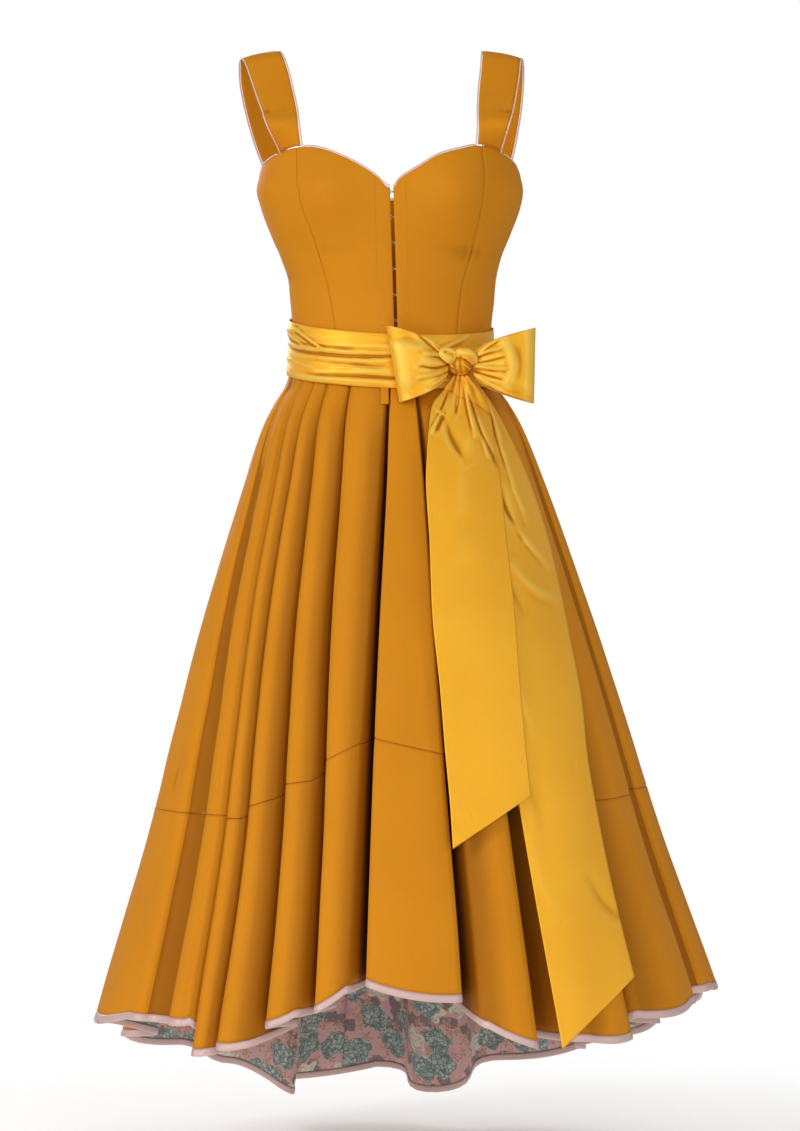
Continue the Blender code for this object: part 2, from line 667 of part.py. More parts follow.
def tier_height(place, field):
    """Height of the seam or the hem at a station: level along a crest, and stepped inside a fold."""
    index, step, crest = place
    here, before = CRESTS[index], CRESTS[index - 1]
    if crest is not None:
        return mix(getattr(here, field + "_start"), getattr(here, field + "_end"), crest)
    across = smooth((step + 1) / 2)
    height = mix(getattr(before, field + "_end"), getattr(here, field + "_start"), across)
    return height - FOLDS[index].drop * fold_shape(FOLDS[index], step)[1]


def station_at(place, fall):
    """Angle and inward depth of one station when the cloth has fallen this share of the way."""
    index, step, crest = place
    fold = FOLDS[index]
    sideways, depth = fold_shape(fold, step)
    degrees = fold_angle(fold, fall) + fold.mouth * sideways
    if crest is not None:
        following = FOLDS[(index + 1) % len(FOLDS)]
        turn = 360 if index == len(FOLDS) - 1 else 0
        far = fold_angle(following, fall) + turn + fold_edge(following, -1)
        degrees = mix(degrees, far, crest)
        depth = 0.0
    return degrees, depth * fold.depth * fall ** FOLD_GROWTH


def skirt_point(place, tier, share):
    """A point of the skirt's outer face: tier 0 is above the seam, tier 1 is below it."""
    seam, hem = tier_height(place, "seam"), tier_height(place, "hem")
    waist = waist_z(station_at(place, 0.0)[0]) - SEAM
    z = mix(waist, seam, share) if tier == 0 else mix(seam, hem + BINDING_HEIGHT, share)
    if tier == 2:
        z = hem
    fall = (waist - z) / (waist - hem)
    degrees, depth = station_at(place, fall)
    point = ring_point(degrees, z)
    centre = Vector((read(RINGS, "z", z, "centre"), 0, z))
    outward = point - centre
    return point - outward.normalized() * depth


def level(direction):
    """The horizontal part of a direction, so that all layers of a row end at one height."""
    return Vector((direction.x, direction.y, 0)).normalized()


def along(row, i, upwards):
    """Which way the cloth runs at a point in plan, halfway between the steps of its row on either side.

    Each step is slid along the column until it is level, and counts the same however long it is, so a wall
    lofted behind the row keeps clear of itself at the floor of a fold with one long side.
    """
    steps = (row[(i + 1) % len(row)] - row[i], row[i] - row[i - 1])
    after, before = ((step - upwards * (step.z / upwards.z)).normalized() for step in steps)
    return after + before


def skirt_grid():
    """All the rows of the skirt, waist to hem, with the level outward direction at each point."""
    places = stations()
    rows = [[skirt_point(place, 0, share) for place in places] for share in UPPER_SHARES]
    rows += [[skirt_point(place, 1, share) for place in places] for share in LOWER_SHARES[1:]]
    rows += [[skirt_point(place, 2, 1.0) for place in places]]
    count = len(places)
    normals = []
    for j, row in enumerate(rows):
        above, below = rows[max(j - 1, 0)], rows[min(j + 1, len(rows) - 1)]
        columns = [above[i] - below[i] for i in range(count)]
        normals.append([level(along(row, i, columns[i]).cross(columns[i])) for i in range(count)])
    angles = [station_at(place, 1.0)[0] for place in places]
    return rows, normals, angles


def nearest_crest(angles, degrees):
    """The station between two folds that lies nearest to this angle."""
    places = stations()
    best = None
    for i, angle in enumerate(angles):
        if places[i][2] is None and abs(places[i][1]) < 1.0:
            continue
        away = abs((angle - degrees + 180) % 360 - 180)
        if best is None or away < best[0]:
            best = (away, i)
    return best[1]


def make_skirt():
    rows, normals, angles = skirt_grid()
    count = len(angles)
    right, back, left = (nearest_crest(angles, degrees) for degrees in (RIGHT_SEAM, BACK_SEAM, LEFT_SEAM))
    places = stations()
    front = places.index((FRONT_SEAM_FOLD, FOLD_STEPS[FRONT_SEAM_STEP], None))
    seam_row = len(UPPER_SHARES) - 1
    hem_row = len(rows) - 1

    def face(start, stop, j_from, j_to, lift, gap=0.0):
        """Part of the skirt's grid, moved outwards by lift, with its first row lowered by a seam's gap."""
        columns = [i % count for i in range(start, stop + 1 + (count if stop < start else 0))]
        grid = []
        for j in range(j_from, j_to + 1):
            line = [rows[j][i] + normals[j][i] * lift for i in columns]
            line[0] += (line[1] - line[0]).normalized() * SEAM / 2
            line[-1] += (line[-2] - line[-1]).normalized() * SEAM / 2
            grid.append(line)
        grid[0] = [point - Vector((0, 0, gap)) for point in grid[0]]
        return grid

    def leaning_back(start, stop):
        """Which columns between two stations lie in folds whose steep side is on the left."""
        columns = range(start, stop + (count if stop < start else 0))
        inside = [places[i % count] for i in columns]
        return {k for k, (fold, step, _) in enumerate(inside) if FOLDS[fold].steep == -1 and step < 1.0}

    lining_out, lining_in = -CLOTH - SEAM, -CLOTH - SEAM - LINING
    for quarter, start, stop in (("front_left", left, front), ("front_right", front, right),
                                 ("back_right", right, back), ("back_left", back, left)):
        mirrored = leaning_back(start, stop)
        wall("skirt_" + quarter, face(start, stop, 0, seam_row, 0.0),
             face(start, stop, 0, seam_row, -CLOTH), "cloth", mirrored)
        wall("flounce_" + quarter, face(start, stop, seam_row, hem_row - 1, 0.0, TIER_GAP),
             face(start, stop, seam_row, hem_row - 1, -CLOTH, TIER_GAP), "cloth", mirrored)
        wall("lining_" + quarter, face(start, stop, seam_row, hem_row - 1, lining_out, TIER_GAP),
             face(start, stop, seam_row, hem_row - 1, lining_in, TIER_GAP), "lining", mirrored)
    for half, start, stop in (("front", left, right), ("back", right, left)):
        wall("binding_" + half, face(start, stop, hem_row - 1, hem_row, SEAM, BINDING_GAP),
             face(start, stop, hem_row - 1, hem_row, lining_in - SEAM, BINDING_GAP), "binding")


# ================================================================ sash, bow and tails
def sash_point(degrees, share):
    """A point of the form under the sash; share runs from 0 at its top edge to 1 at its bottom."""
    angle = math.radians(degrees)
    middle = SASH_Z - SASH_DIP * math.cos(angle) - SASH_TILT * math.sin(angle)
    return ring_point(degrees, middle + SASH_HEIGHT * (0.5 - share))


def make_sash():
    outer, inner = [], []
    start = KNOT_ANGLE + SASH_END_GAP - 360.0
    stop = KNOT_ANGLE - SASH_END_GAP
    for ridge in SASH_RIDGES:
        line_out, line_in = [], []
        for degrees in spread(start, stop, SASH_COLUMNS):
            normal = facing(lambda a, b: sash_point(a, -b), degrees, -ridge.share, 0.5, 0.02)
            waver = 1.0 + SASH_WAVER * math.sin(math.radians(degrees * 3) + ridge.share * 5)
            lift = SASH_CLEARANCE + ridge.lift * waver
            base = sash_point(degrees, ridge.share)
            line_in.append(base + normal * lift)
            line_out.append(base + normal * (lift + SATIN))
        outer.append(line_out)
        inner.append(line_in)
    wall("sash_band", outer, inner, "satin")


def make_tab():
    """The strip of cloth behind the sash beside the front opening."""
    outer, inner = [], []
    for z in spread(TAB_TOP, TAB_BOTTOM, 8):
        angles = [angle_at(TAB_X + side * TAB_WIDTH / 2, z) for side in (-1, 1)]
        lift = SEAM + TAB_LIFT_BELOW * min(1.0, max(0.0, (TAB_LIFT_FROM - z) / TAB_WIDTH))
        outer.append([lifted(ring_point, angle, z, lift + TAB_WALL) for angle in angles])
        inner.append([lifted(ring_point, angle, z, lift) for angle in angles])
    wall("front_tab", outer, inner, "cloth")


def bow_frame():
    """Centre of the knot, the bow's direction towards +X, and its direction towards the viewer."""
    base = sash_point(KNOT_ANGLE, 0.5)
    normal = facing(lambda a, b: sash_point(a, -b), KNOT_ANGLE, -0.5, 0.5, 0.02)
    proud = SASH_CLEARANCE + KNOT_CLEARANCE + SATIN + KNOT_BACK
    centre = base + normal * proud + Vector((0, 0, KNOT_DROP))
    turn = math.radians(BOW_TURN)
    return centre, Vector((math.cos(turn), math.sin(turn), 0)), Vector((math.sin(turn), -math.cos(turn), 0))


def make_knot():
    centre, along, ahead = bow_frame()
    bm = bmesh.new()
    bmesh.ops.create_uvsphere(bm, u_segments=12, v_segments=8, radius=1.0)
    for vert in bm.verts:
        x, y, z = vert.co
        groove = 1.0 - KNOT_GROOVE * math.exp(-((x + 0.5 * z) / 0.22) ** 2) * max(0.0, -y)
        depth = KNOT_BACK if y > 0 else KNOT_SIZE[1] * groove
        point = (centre + along * x * KNOT_SIZE[0] - ahead * y * depth
                 + Vector((0, 0, z * KNOT_SIZE[2])))
        vert.co = point * MM
    add_object("bow_knot", bm, "satin")


def loop_point(loop, side, way, row):
    """A point of a loop's ribbon; row runs from -1 at its lower edge to 1 at its upper."""
    centre, along, ahead = bow_frame()
    reach = mix(loop.bottom_reach, loop.top_reach, (row + 1) / 2)
    distance = mix(LOOP_ROOT, reach, way.reach)
    half = mix(LOOP_ROOT_HALF, loop.half_height, way.reach ** LOOP_OPENING_POWER)
    crease = LOOP_CREASE * math.cos(row * LOOP_CREASE_TURNS * 2 * math.pi) * math.sin(math.pi * way.reach)
    stand = way.stand + (crease if way.stand > 0 else 0.0) - BOW_TILT * row * way.reach
    return centre + along * side * distance + ahead * stand + Vector((0, 0, half * row))


def make_loop(name, loop, side):
    lines = [[loop_point(loop, side, way, row) for way in LOOP_WAY] for row in reversed(LOOP_ROWS)]
    if side < 0:
        lines = [line[::-1] for line in lines]
    wall(name, *thicken(lines, SATIN), "satin")


def thicken(lines, thickness):
    """Outer and inner grids on both sides of a grid of points."""
    outer, inner = [], []
    for j, line in enumerate(lines):
        above, below = lines[max(j - 1, 0)], lines[min(j + 1, len(lines) - 1)]
        line_out, line_in = [], []
        for i, point in enumerate(line):
            along = line[min(i + 1, len(line) - 1)] - line[max(i - 1, 0)]
            normal = along.cross(above[i] - below[i]).normalized()
            line_out.append(point + normal * thickness / 2)
            line_in.append(point - normal * thickness / 2)
        outer.append(line_out)
        inner.append(line_in)
    return outer, inner


def front_of_skirt(x, z, clearance):
    """The point in front of the skirt's crests at this x and height."""
    point = ring_point(angle_at(x, z), z)
    point.y = min(point.y, 0) - clearance
    return point


def make_tail(name, rows, clearance):
    centre, along, ahead = bow_frame()
    lines = []
    for number, row in enumerate(rows):
        line = []
        for i in range(TAIL_COLUMNS + 1):
            share = i / TAIL_COLUMNS
            x, z = mix(row.left_x, row.right_x, share), mix(row.left_z, row.right_z, share)
            gathered = max(0.0, 1.0 - number / TAIL_GATHERED_ROWS)
            wave = TAIL_WAVE * math.sin(share * 2 * math.pi + number)
            point = front_of_skirt(x, z, clearance + SATIN + wave * 0.5)
            hang = centre.y + (x - centre.x) * math.tan(math.radians(BOW_TURN))
            hang -= clearance * 0.5 - TAIL_STEP_BACK
            point.y = mix(point.y, min(hang, point.y), gathered)
            line.append(point)
        lines.append(line)
    wall(name, *thicken(lines, SATIN), "satin")


def make_sash_and_bow():
    make_sash()
    make_tab()
    make_knot()
    make_loop("bow_loop_left", LOOP_LEFT, -1)
    make_loop("bow_loop_right", LOOP_RIGHT, 1)
    make_tail("sash_tail_short", TAIL_SHORT, TAIL_CLEARANCE_SHORT)
    make_tail("sash_tail_long", TAIL_LONG, TAIL_CLEARANCE_LONG)


# ================================================================ the dress
for old in list(bpy.data.objects):
    bpy.data.objects.remove(old)
DRESS = collection("dirndl")
make_bodice()
left_lines = make_strap("strap_left", STRAP_LEFT, STRAP_END_LEFT, -1)
right_lines = make_strap("strap_right", STRAP_RIGHT, STRAP_END_RIGHT, 1)
make_piping(left_lines, right_lines)
make_hooks()
make_skirt()
make_sash_and_bow()
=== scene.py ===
# %% [markdown]
# # A dirndl with a satin bow
#
# This lesson dresses a plain CAD model of a dirndl in cloth. The dress stands filled out, as if it were
# worn, with no one in it. Its CAD solids are walls of cloth with few faces. Here each wall gets a fine
# skin of its own, shaped by the same handful of sizes, and then its weave, sheen, seams and stitches.
#
# Three ways lead to cloth in Blender: sculpt it, simulate it, or work it out from a rule. A dress like
# this one is a cone with folds that run straight from the waist to the hem, so a rule is the shortest way,
# and it gives the same dress each time.

# %% Load the frame
import math
import random
from collections import namedtuple

import bmesh
import bpy
from mathutils import Matrix, Vector, noise


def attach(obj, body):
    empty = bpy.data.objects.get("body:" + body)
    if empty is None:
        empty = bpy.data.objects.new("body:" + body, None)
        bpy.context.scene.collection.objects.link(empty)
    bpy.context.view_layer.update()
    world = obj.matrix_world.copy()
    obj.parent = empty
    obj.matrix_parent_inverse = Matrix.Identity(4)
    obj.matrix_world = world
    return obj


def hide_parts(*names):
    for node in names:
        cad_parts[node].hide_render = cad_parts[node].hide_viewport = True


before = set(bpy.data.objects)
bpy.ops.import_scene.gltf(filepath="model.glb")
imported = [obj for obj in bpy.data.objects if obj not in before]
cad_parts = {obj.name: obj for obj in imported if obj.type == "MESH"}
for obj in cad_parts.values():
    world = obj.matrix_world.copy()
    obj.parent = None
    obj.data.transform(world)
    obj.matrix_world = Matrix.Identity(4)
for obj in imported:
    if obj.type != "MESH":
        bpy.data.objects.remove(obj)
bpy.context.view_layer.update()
MM = 0.001

# %% [markdown]
# ## The camera, the lights and the floor
#
# The photograph was taken level, from straight in front and far away, so that the dress hardly shows
# perspective. A camera 5 m away with a long lens gives the same picture. A white world shows behind the
# dress, but lights it only softly: satin needs dark places in its surroundings to have bright ones. One big
# soft light on the left in front models the folds, and weaker ones fill the right side and the back.

# %% Camera
PHOTO_PIXEL = 1.28 * MM              # real size of one pixel of the photograph at the dress's middle
PHOTO_HEIGHT = 1131
CAMERA_DISTANCE = 5.0
CAMERA_PLACE = (0.0115, -CAMERA_DISTANCE, -0.657)
SENSOR = 36.0

camera = bpy.data.objects.new("camera", bpy.data.cameras.new("camera"))
bpy.context.scene.collection.objects.link(camera)
camera.location = CAMERA_PLACE
camera.rotation_euler = (math.radians(90), 0, 0)
camera.data.sensor_width = SENSOR
camera.data.lens = SENSOR * CAMERA_DISTANCE / (PHOTO_HEIGHT * PHOTO_PIXEL)
bpy.context.scene.camera = camera
bpy.context.scene.view_settings.view_transform = "Standard"
print("lens:", round(camera.data.lens, 1), "mm")

# %% Lights
Softbox = namedtuple("Softbox", "name place width height watts colour")
SOFTBOXES = [
    Softbox("key", (-2.9, -2.6, 0.5), 1.1, 2.2, 68, (1.0, 0.97, 0.92)),
    Softbox("front", (0.9, -4.3, 0.7), 1.6, 1.4, 33, (1.0, 0.99, 0.97)),
    Softbox("low", (-0.2, -2.6, -1.9), 1.6, 0.6, 9, (1.0, 0.98, 0.95)),
    Softbox("fill", (2.9, -1.7, -0.1), 0.7, 2.0, 13, (1.0, 0.98, 0.95)),
    Softbox("back", (-1.2, 3.0, 0.8), 1.8, 2.0, 42, (1.0, 0.98, 0.96)),
]
DRESS_MIDDLE = Vector((0.0, 0.0, -0.65))
SKY_SEEN, SKY_LIGHT = 1.0, 0.36          # the world's strength to the camera, and as light on the dress

for box in SOFTBOXES:
    lamp = bpy.data.lights.new(box.name, "AREA")
    lamp.shape = "RECTANGLE"
    lamp.size, lamp.size_y = box.width, box.height
    lamp.energy, lamp.color = box.watts, box.colour
    holder = bpy.data.objects.new(box.name, lamp)
    holder.location = box.place
    holder.rotation_euler = (DRESS_MIDDLE - Vector(box.place)).to_track_quat("-Z", "Y").to_euler()
    bpy.context.scene.collection.objects.link(holder)

world = bpy.data.worlds.new("studio")
world.use_nodes = True
sky = world.node_tree
path = sky.nodes.new("ShaderNodeLightPath")
seen = sky.nodes.new("ShaderNodeMix")
seen.inputs[2].default_value = SKY_LIGHT
seen.inputs[3].default_value = SKY_SEEN
sky.links.new(path.outputs["Is Camera Ray"], seen.inputs[0])
sky.links.new(seen.outputs[0], sky.nodes["Background"].inputs["Strength"])
sky.nodes["Background"].inputs["Color"].default_value = (1, 1, 1, 1)
bpy.context.scene.world = world
print(len(SOFTBOXES), "softboxes")

# %% [markdown]
# ## Reading small tables
#
# The dress is described by short tables with named columns. A reader gives a smooth value between two
# rows, with slopes that never overshoot, so a waist stays a waist. Where a table gives the form of the
# dress, it is the CAD model's own.

# %% Tables, and a smooth reader
GENTLE_STEPS = (-0.08, -0.04, 0.0, 0.04, 0.08)


def table(columns, *rows):
    """A list of rows with named columns."""
    kind = namedtuple("Row", columns)
    return [kind(*row) for row in rows]


def mix(a, b, share):
    return a + (b - a) * share


def clamp(share):
    return min(1.0, max(0.0, share))


def smooth(share):
    share = clamp(share)
    return share * share * (3 - 2 * share)


def rough(*place):
    """Smooth noise from about -1 to 1, the same each time at the same place."""
    return noise.noise(Vector(place))


def spread(start, end, steps):
    return [mix(start, end, k / steps) for k in range(steps + 1)]


def gentle(one, other):
    """Slope at a row between two rises: their harmonic mean, and flat where they turn round."""
    return 2 * one * other / (one + other) if one * other > 0 else 0.0


def read(rows, at, field):
    """Smooth value of a column at this place in the first column, flat past both ends."""
    keys = [row[0] for row in rows]
    turn = 1 if keys[-1] > keys[0] else -1
    if (at - keys[0]) * turn <= 0:
        return getattr(rows[0], field)
    if (at - keys[-1]) * turn >= 0:
        return getattr(rows[-1], field)
    index = next(k for k in range(len(rows) - 1) if (keys[k + 1] - at) * turn >= 0)
    x0, x1 = keys[index], keys[index + 1]
    y0, y1 = getattr(rows[index], field), getattr(rows[index + 1], field)
    rise = (y1 - y0) / (x1 - x0)
    slope0 = slope1 = rise
    if index > 0:
        slope0 = gentle((y0 - getattr(rows[index - 1], field)) / (x0 - keys[index - 1]), rise)
    if index < len(rows) - 2:
        slope1 = gentle((getattr(rows[index + 2], field) - y1) / (keys[index + 2] - x1), rise)
    t, span = (at - x0) / (x1 - x0), x1 - x0
    return ((2 * t ** 3 - 3 * t ** 2 + 1) * y0 + (t ** 3 - 2 * t ** 2 + t) * span * slope0
            + (3 * t ** 2 - 2 * t ** 3) * y1 + (t ** 3 - t ** 2) * span * slope1)


def gentle_read(rows, at, field):
    """Reads a table with the corners taken off, from five readings close together."""
    spots = [clamp(at + step) for step in GENTLE_STEPS]
    return sum(read(rows, spot, field) for spot in spots) / len(spots)


# %% The plan of the dress at each height, in millimetres
RINGS = table(
    "z half_width centre front back power",
    (-100, 150.0, -4.0, 100, 84, 2.4),
    (-130, 158.0, -2.0, 108, 90, 2.4),
    (-145, 162.0, -2.0, 113, 94, 2.4),
    (-162, 167.5, -1.5, 116, 97, 2.4),
    (-178, 170.5, -1.5, 118, 99, 2.4),
    (-200, 166.0, -0.6, 117, 100, 2.35),
    (-235, 153.0, -0.6, 112, 99, 2.25),
    (-265, 140.5, 0.0, 106, 97, 2.15),
    (-295, 132.5, 1.5, 101, 96, 2.1),
    (-320, 130.5, 1.5, 98.5, 95, 2.0),
    (-345, 128.0, 1.0, 97, 94.5, 2.0),
    (-372, 127.0, 0.0, 96.5, 95, 2.0),
    (-400, 128.0, 0.0, 97.5, 96, 2.0),
    (-425, 134.0, 0.0, 102, 101, 2.0),
    (-450, 150.0, 1.0, 114, 115, 2.0),
    (-480, 166.0, 2.0, 129, 131, 2.0),
    (-550, 191.5, 4.5, 154, 158, 2.0),
    (-690, 237.5, 6.5, 200, 206, 2.0),
    (-850, 285.5, 11.5, 250, 258, 2.0),
    (-1000, 327.5, 16.5, 293, 304, 2.0),
    (-1190, 388.0, 22.0, 350, 362, 2.0),
    (-1380, 445.0, 25.0, 402, 415, 2.0),
)
RING_STEP = 2.0
RING_TOP = RINGS[0].z
# the rings read once every 2 mm, because the skirt alone asks for them tens of thousands of times
RING_LINES = [[read(RINGS, RING_TOP - k * RING_STEP, field) for field in RINGS[0]._fields[1:]]
              for k in range(int((RING_TOP - RINGS[-1].z) / RING_STEP) + 2)]


def ring_at(z):
    place = min(max((RING_TOP - z) / RING_STEP, 0.0), len(RING_LINES) - 1.001)
    index = int(place)
    above, below = RING_LINES[index], RING_LINES[index + 1]
    return [mix(a, b, place - index) for a, b in zip(above, below)]


def ring_point(degrees, z):
    """A point of the form, unfolded: 0 degrees is the front, -Y, and 90 is +X."""
    half_width, centre, front, back, power = ring_at(z)
    side, ahead = math.sin(math.radians(degrees)), math.cos(math.radians(degrees))
    x = centre + half_width * math.copysign(abs(side) ** (2 / power), side)
    depth = front if ahead > 0 else back
    return Vector((x, -depth * math.copysign(abs(ahead) ** (2 / power), ahead), z))


def angle_at(x, z):
    """Degrees from the front at which the form has this x."""
    half_width, centre, _, _, power = ring_at(z)
    side = max(-1.0, min(1.0, (x - centre) / half_width))
    return math.degrees(math.asin(math.copysign(abs(side) ** (power / 2), side)))


print(len(RINGS), "rings, from the shoulder to below the hem")

# %% [markdown]
# ## One way to make every piece of cloth
#
# Each piece starts as a flat grid, as cloth does on the cutting table. A rule then says where each of its
# crossings goes. The grid's own steps, measured after it is shaped, give the map of the cloth in metres:
# weave and print then keep their real size wherever the cloth runs. A Solidify modifier gives the wall.

# %% Cloth from a grid
Finish = namedtuple("Finish", "material slot ending")     # the ending closes the names of its pieces
HOLLOW_REACH = 3                 # cells over which a hollow is measured
DROP_EVERY = 4                   # columns of which the drop of a row is the mean
LEAST_FILL, MOST_FILL = 0.31, 0.99       # share of its flat rectangle that a cut takes
WELD = 0.02                      # mm


def map_cloth(bm, grid, columns, rows):
    """A UV map in metres: along each row from its middle, and down from the top edge."""
    uv = bm.loops.layers.uv.new("cloth")
    spots, drop = {}, 0.0
    for j in range(rows + 1):
        along = [0.0]
        for i in range(columns):
            along.append(along[-1] + (grid[j, i + 1].co - grid[j, i].co).length)
        if j:
            steps = [(grid[j, i].co - grid[j - 1, i].co).length for i in range(0, columns + 1, DROP_EVERY)]
            drop += sum(steps) / len(steps)
        for i in range(columns + 1):
            spots[grid[j, i]] = (along[i] - along[-1] / 2, -drop)
    for face in bm.faces:
        for loop in face.loops:
            loop[uv].uv = spots[loop.vert]
    return max(spot[0] for spot in spots.values()) * 2, drop


def mark_hollows(bm, grid):
    """An attribute: how far each crossing lies in a hollow, in mm, against those a few cells away."""
    layer = bm.verts.layers.float["hollow"]
    bm.normal_update()
    for (j, i), vert in grid.items():
        around = [grid.get((j + HOLLOW_REACH, i)), grid.get((j - HOLLOW_REACH, i)),
                  grid.get((j, i + HOLLOW_REACH)), grid.get((j, i - HOLLOW_REACH))]
        around = [other.co for other in around if other is not None]
        middle = sum(around, Vector()) / len(around)
        vert[layer] = (middle - vert.co).dot(vert.normal) / MM


def shaped_grid(place, columns, rows):
    """A bmesh grid with each crossing put where place(column, row) says, in mm."""
    bm = bmesh.new()
    bmesh.ops.create_grid(bm, x_segments=columns, y_segments=rows, size=0.5)
    for name in ("hollow", "shade"):
        bm.verts.layers.float.new(name)
    grid = {}
    for vert in bm.verts:
        spot = (round((0.5 - vert.co.y) * rows), round((vert.co.x + 0.5) * columns))
        grid[spot] = vert
    for (j, i), vert in grid.items():
        vert.co = place(i, j) * MM
    return bm, grid


def mesh_object(bm, name, material):
    """An object in the scene from a bmesh, which it frees."""
    mesh = bpy.data.meshes.new(name)
    bm.to_mesh(mesh)
    bm.free()
    mesh.materials.append(material)
    made = bpy.data.objects.new(name, mesh)
    bpy.context.scene.collection.objects.link(made)
    return made


def finish_piece(bm, name, finish, nodes, wall=0.0, sheet=None):
    """Turns a bmesh into a piece of the dress that rides on its body and stands for its CAD nodes."""
    piece = mesh_object(bm, name, finish.material)
    piece.data.shade_smooth()
    if wall:
        solidify = piece.modifiers.new("wall", "SOLIDIFY")
        solidify.thickness = wall * MM
        solidify.offset = -1.0
    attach(piece, "root")
    if nodes:
        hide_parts(*nodes)
    if sheet:
        width, length, area, held = sheet
        print(f"{name}: cut {width * 1000:.0f} x {length * 1000:.0f} mm, {area:.3f} square metres")


def cloth(node_name, finish, place, columns, rows, wall, held="hung", shade=None, closed=False, name=None):
    """A piece of cloth on a rule, with its cut measured and printed."""
    bm, grid = shaped_grid(place, columns, rows)
    mark_hollows(bm, grid)
    # how much painted fold shade each crossing gets, from 0 to 1
    if shade:
        layer = bm.verts.layers.float["shade"]
        for (j, i), vert in grid.items():
            vert[layer] = shade(i, j)
    width, length = (round(side, 4) for side in map_cloth(bm, grid, columns, rows))
    area = min(sum(face.calc_area() for face in bm.faces), MOST_FILL * width * length)
    area = max(area, LEAST_FILL * width * length)
    if closed:
        bmesh.ops.remove_doubles(bm, verts=bm.verts, dist=WELD * MM)
    finish_piece(bm, name or f"{node_name}_{finish.ending}", finish, [node_name], wall,
                 (width, length, area, held))


def facing(place, a, b, step_a=0.5, step_b=1.0):
    """Outward normal of place(a, b), by differences."""
    along_a = place(a + step_a, b) - place(a - step_a, b)
    along_b = place(a, b + step_b) - place(a, b - step_b)
    return along_a.cross(along_b).normalized()


def lifted(place, a, b, lift):
    return place(a, b) + facing(place, a, b) * lift


def bump(away, width):
    """A soft ridge: 1 in its middle, and nearly nothing two widths away."""
    return math.exp(-(away / width) ** 2)

# %% [markdown]
# ## Cloth materials from shader node groups
#
# Five cloths make this dress: a smooth orange twill, a golden satin, pink satin for piping and binding, and
# a ribbed jacquard with flowers as lining. They share two effects, each a node group of its own: uneven
# threads that cross, and slow changes of tone. A third group draws the flowers. The groups put out only
# colours, masks and heights. The Principled BSDF stays in each material, with its own constant values.

# %% Small helpers for nodes


def new_group(name, inputs, outputs):
    """A shader group with named sockets, each with a value that also says its kind."""
    group = bpy.data.node_groups.new(name, "ShaderNodeTree")
    for direction, sockets in (("INPUT", inputs), ("OUTPUT", outputs)):
        for label, value in sockets.items():
            kind = "Float" if isinstance(value, float) else {3: "Vector", 4: "Color"}[len(value)]
            socket = group.interface.new_socket(label, in_out=direction, socket_type="NodeSocket" + kind)
            socket.default_value = value
    return group, group.nodes.new("NodeGroupInput").outputs, group.nodes.new("NodeGroupOutput").inputs


def feed(tree, socket, value):
    """Links a socket into an input, or sets the input's number or colour."""
    value = getattr(value, "socket", value)
    if isinstance(value, bpy.types.NodeSocket):
        tree.links.new(value, socket)
    else:
        socket.default_value = value


def node(tree, kind, values=(), **settings):
    """A node with its settings, and its inputs fed in order or, from a dict, by name."""
    made = tree.nodes.new("ShaderNode" + kind)
    for key, value in settings.items():
        setattr(made, key, value)
    pairs = values.items() if isinstance(values, dict) else enumerate(values)
    for key, value in pairs:
        if value is not None:
            feed(tree, made.inputs[key], value)
    return made


class Value:
    """A number's socket that Python's own operators lead through Math nodes."""

    def __init__(self, tree, socket):
        self.tree, self.socket = tree, socket

    def maths(self, operation, *others, clamp=False):
        made = node(self.tree, "Math", (self, *others), operation=operation, use_clamp=clamp)
        return Value(self.tree, made.outputs[0])

    def __add__(self, other):
        return self.maths("ADD", other)

    def __sub__(self, other):
        return self.maths("SUBTRACT", other)

    def __mul__(self, other):
        return self.maths("MULTIPLY", other)

    def __truediv__(self, other):
        return self.maths("DIVIDE", other)

    def wave(self, turning):
        """Rounded ridges side by side."""
        return (self * turning).maths("SINE").maths("ABSOLUTE")


def vector_maths(tree, operation, *values):
    return node(tree, "VectorMath", values, operation=operation)


def parts_of(tree, vector):
    """The X and Y of a vector."""
    outputs = node(tree, "SeparateXYZ", (vector,)).outputs
    return Value(tree, outputs[0]), Value(tree, outputs[1])


def blend_colour(tree, share, one, other):
    """Mixes two colours by a share from 0 to 1."""
    made = tree.nodes.new("ShaderNodeMix")
    made.data_type = "RGBA"
    feed(tree, made.inputs["Factor"], share)
    feed(tree, made.inputs[6], one)
    feed(tree, made.inputs[7], other)
    return made.outputs[2]


def ramp(tree, value, start, end, low=0.0, high=1.0):
    """A smooth step: low before start, high after end."""
    made = node(tree, "MapRange", (value, start, end, low, high), interpolation_type="SMOOTHSTEP")
    return Value(tree, made.outputs[0])


def scaled(tree, vector, scale):
    """A vector times a number from a socket."""
    made = vector_maths(tree, "SCALE", vector)
    tree.links.new(scale, made.inputs["Scale"])
    return made.outputs[0]


def noise_at(tree, vector, scale, detail=2.0, roughness=0.5):
    made = node(tree, "TexNoise", {"Vector": vector, "Scale": scale, "Detail": detail,
                                   "Roughness": roughness})
    return Value(tree, made.outputs["Fac"])


# %% The group for crossing threads
NOWHERE, WHITE, BLACK = (0.0, 0.0, 0.0), (1.0, 1.0, 1.0, 1.0), (0.0, 0.0, 0.0, 1.0)
SLUB_SCALE = (260.0, 18.0, 1.0)          # per metre, across a thread and along it


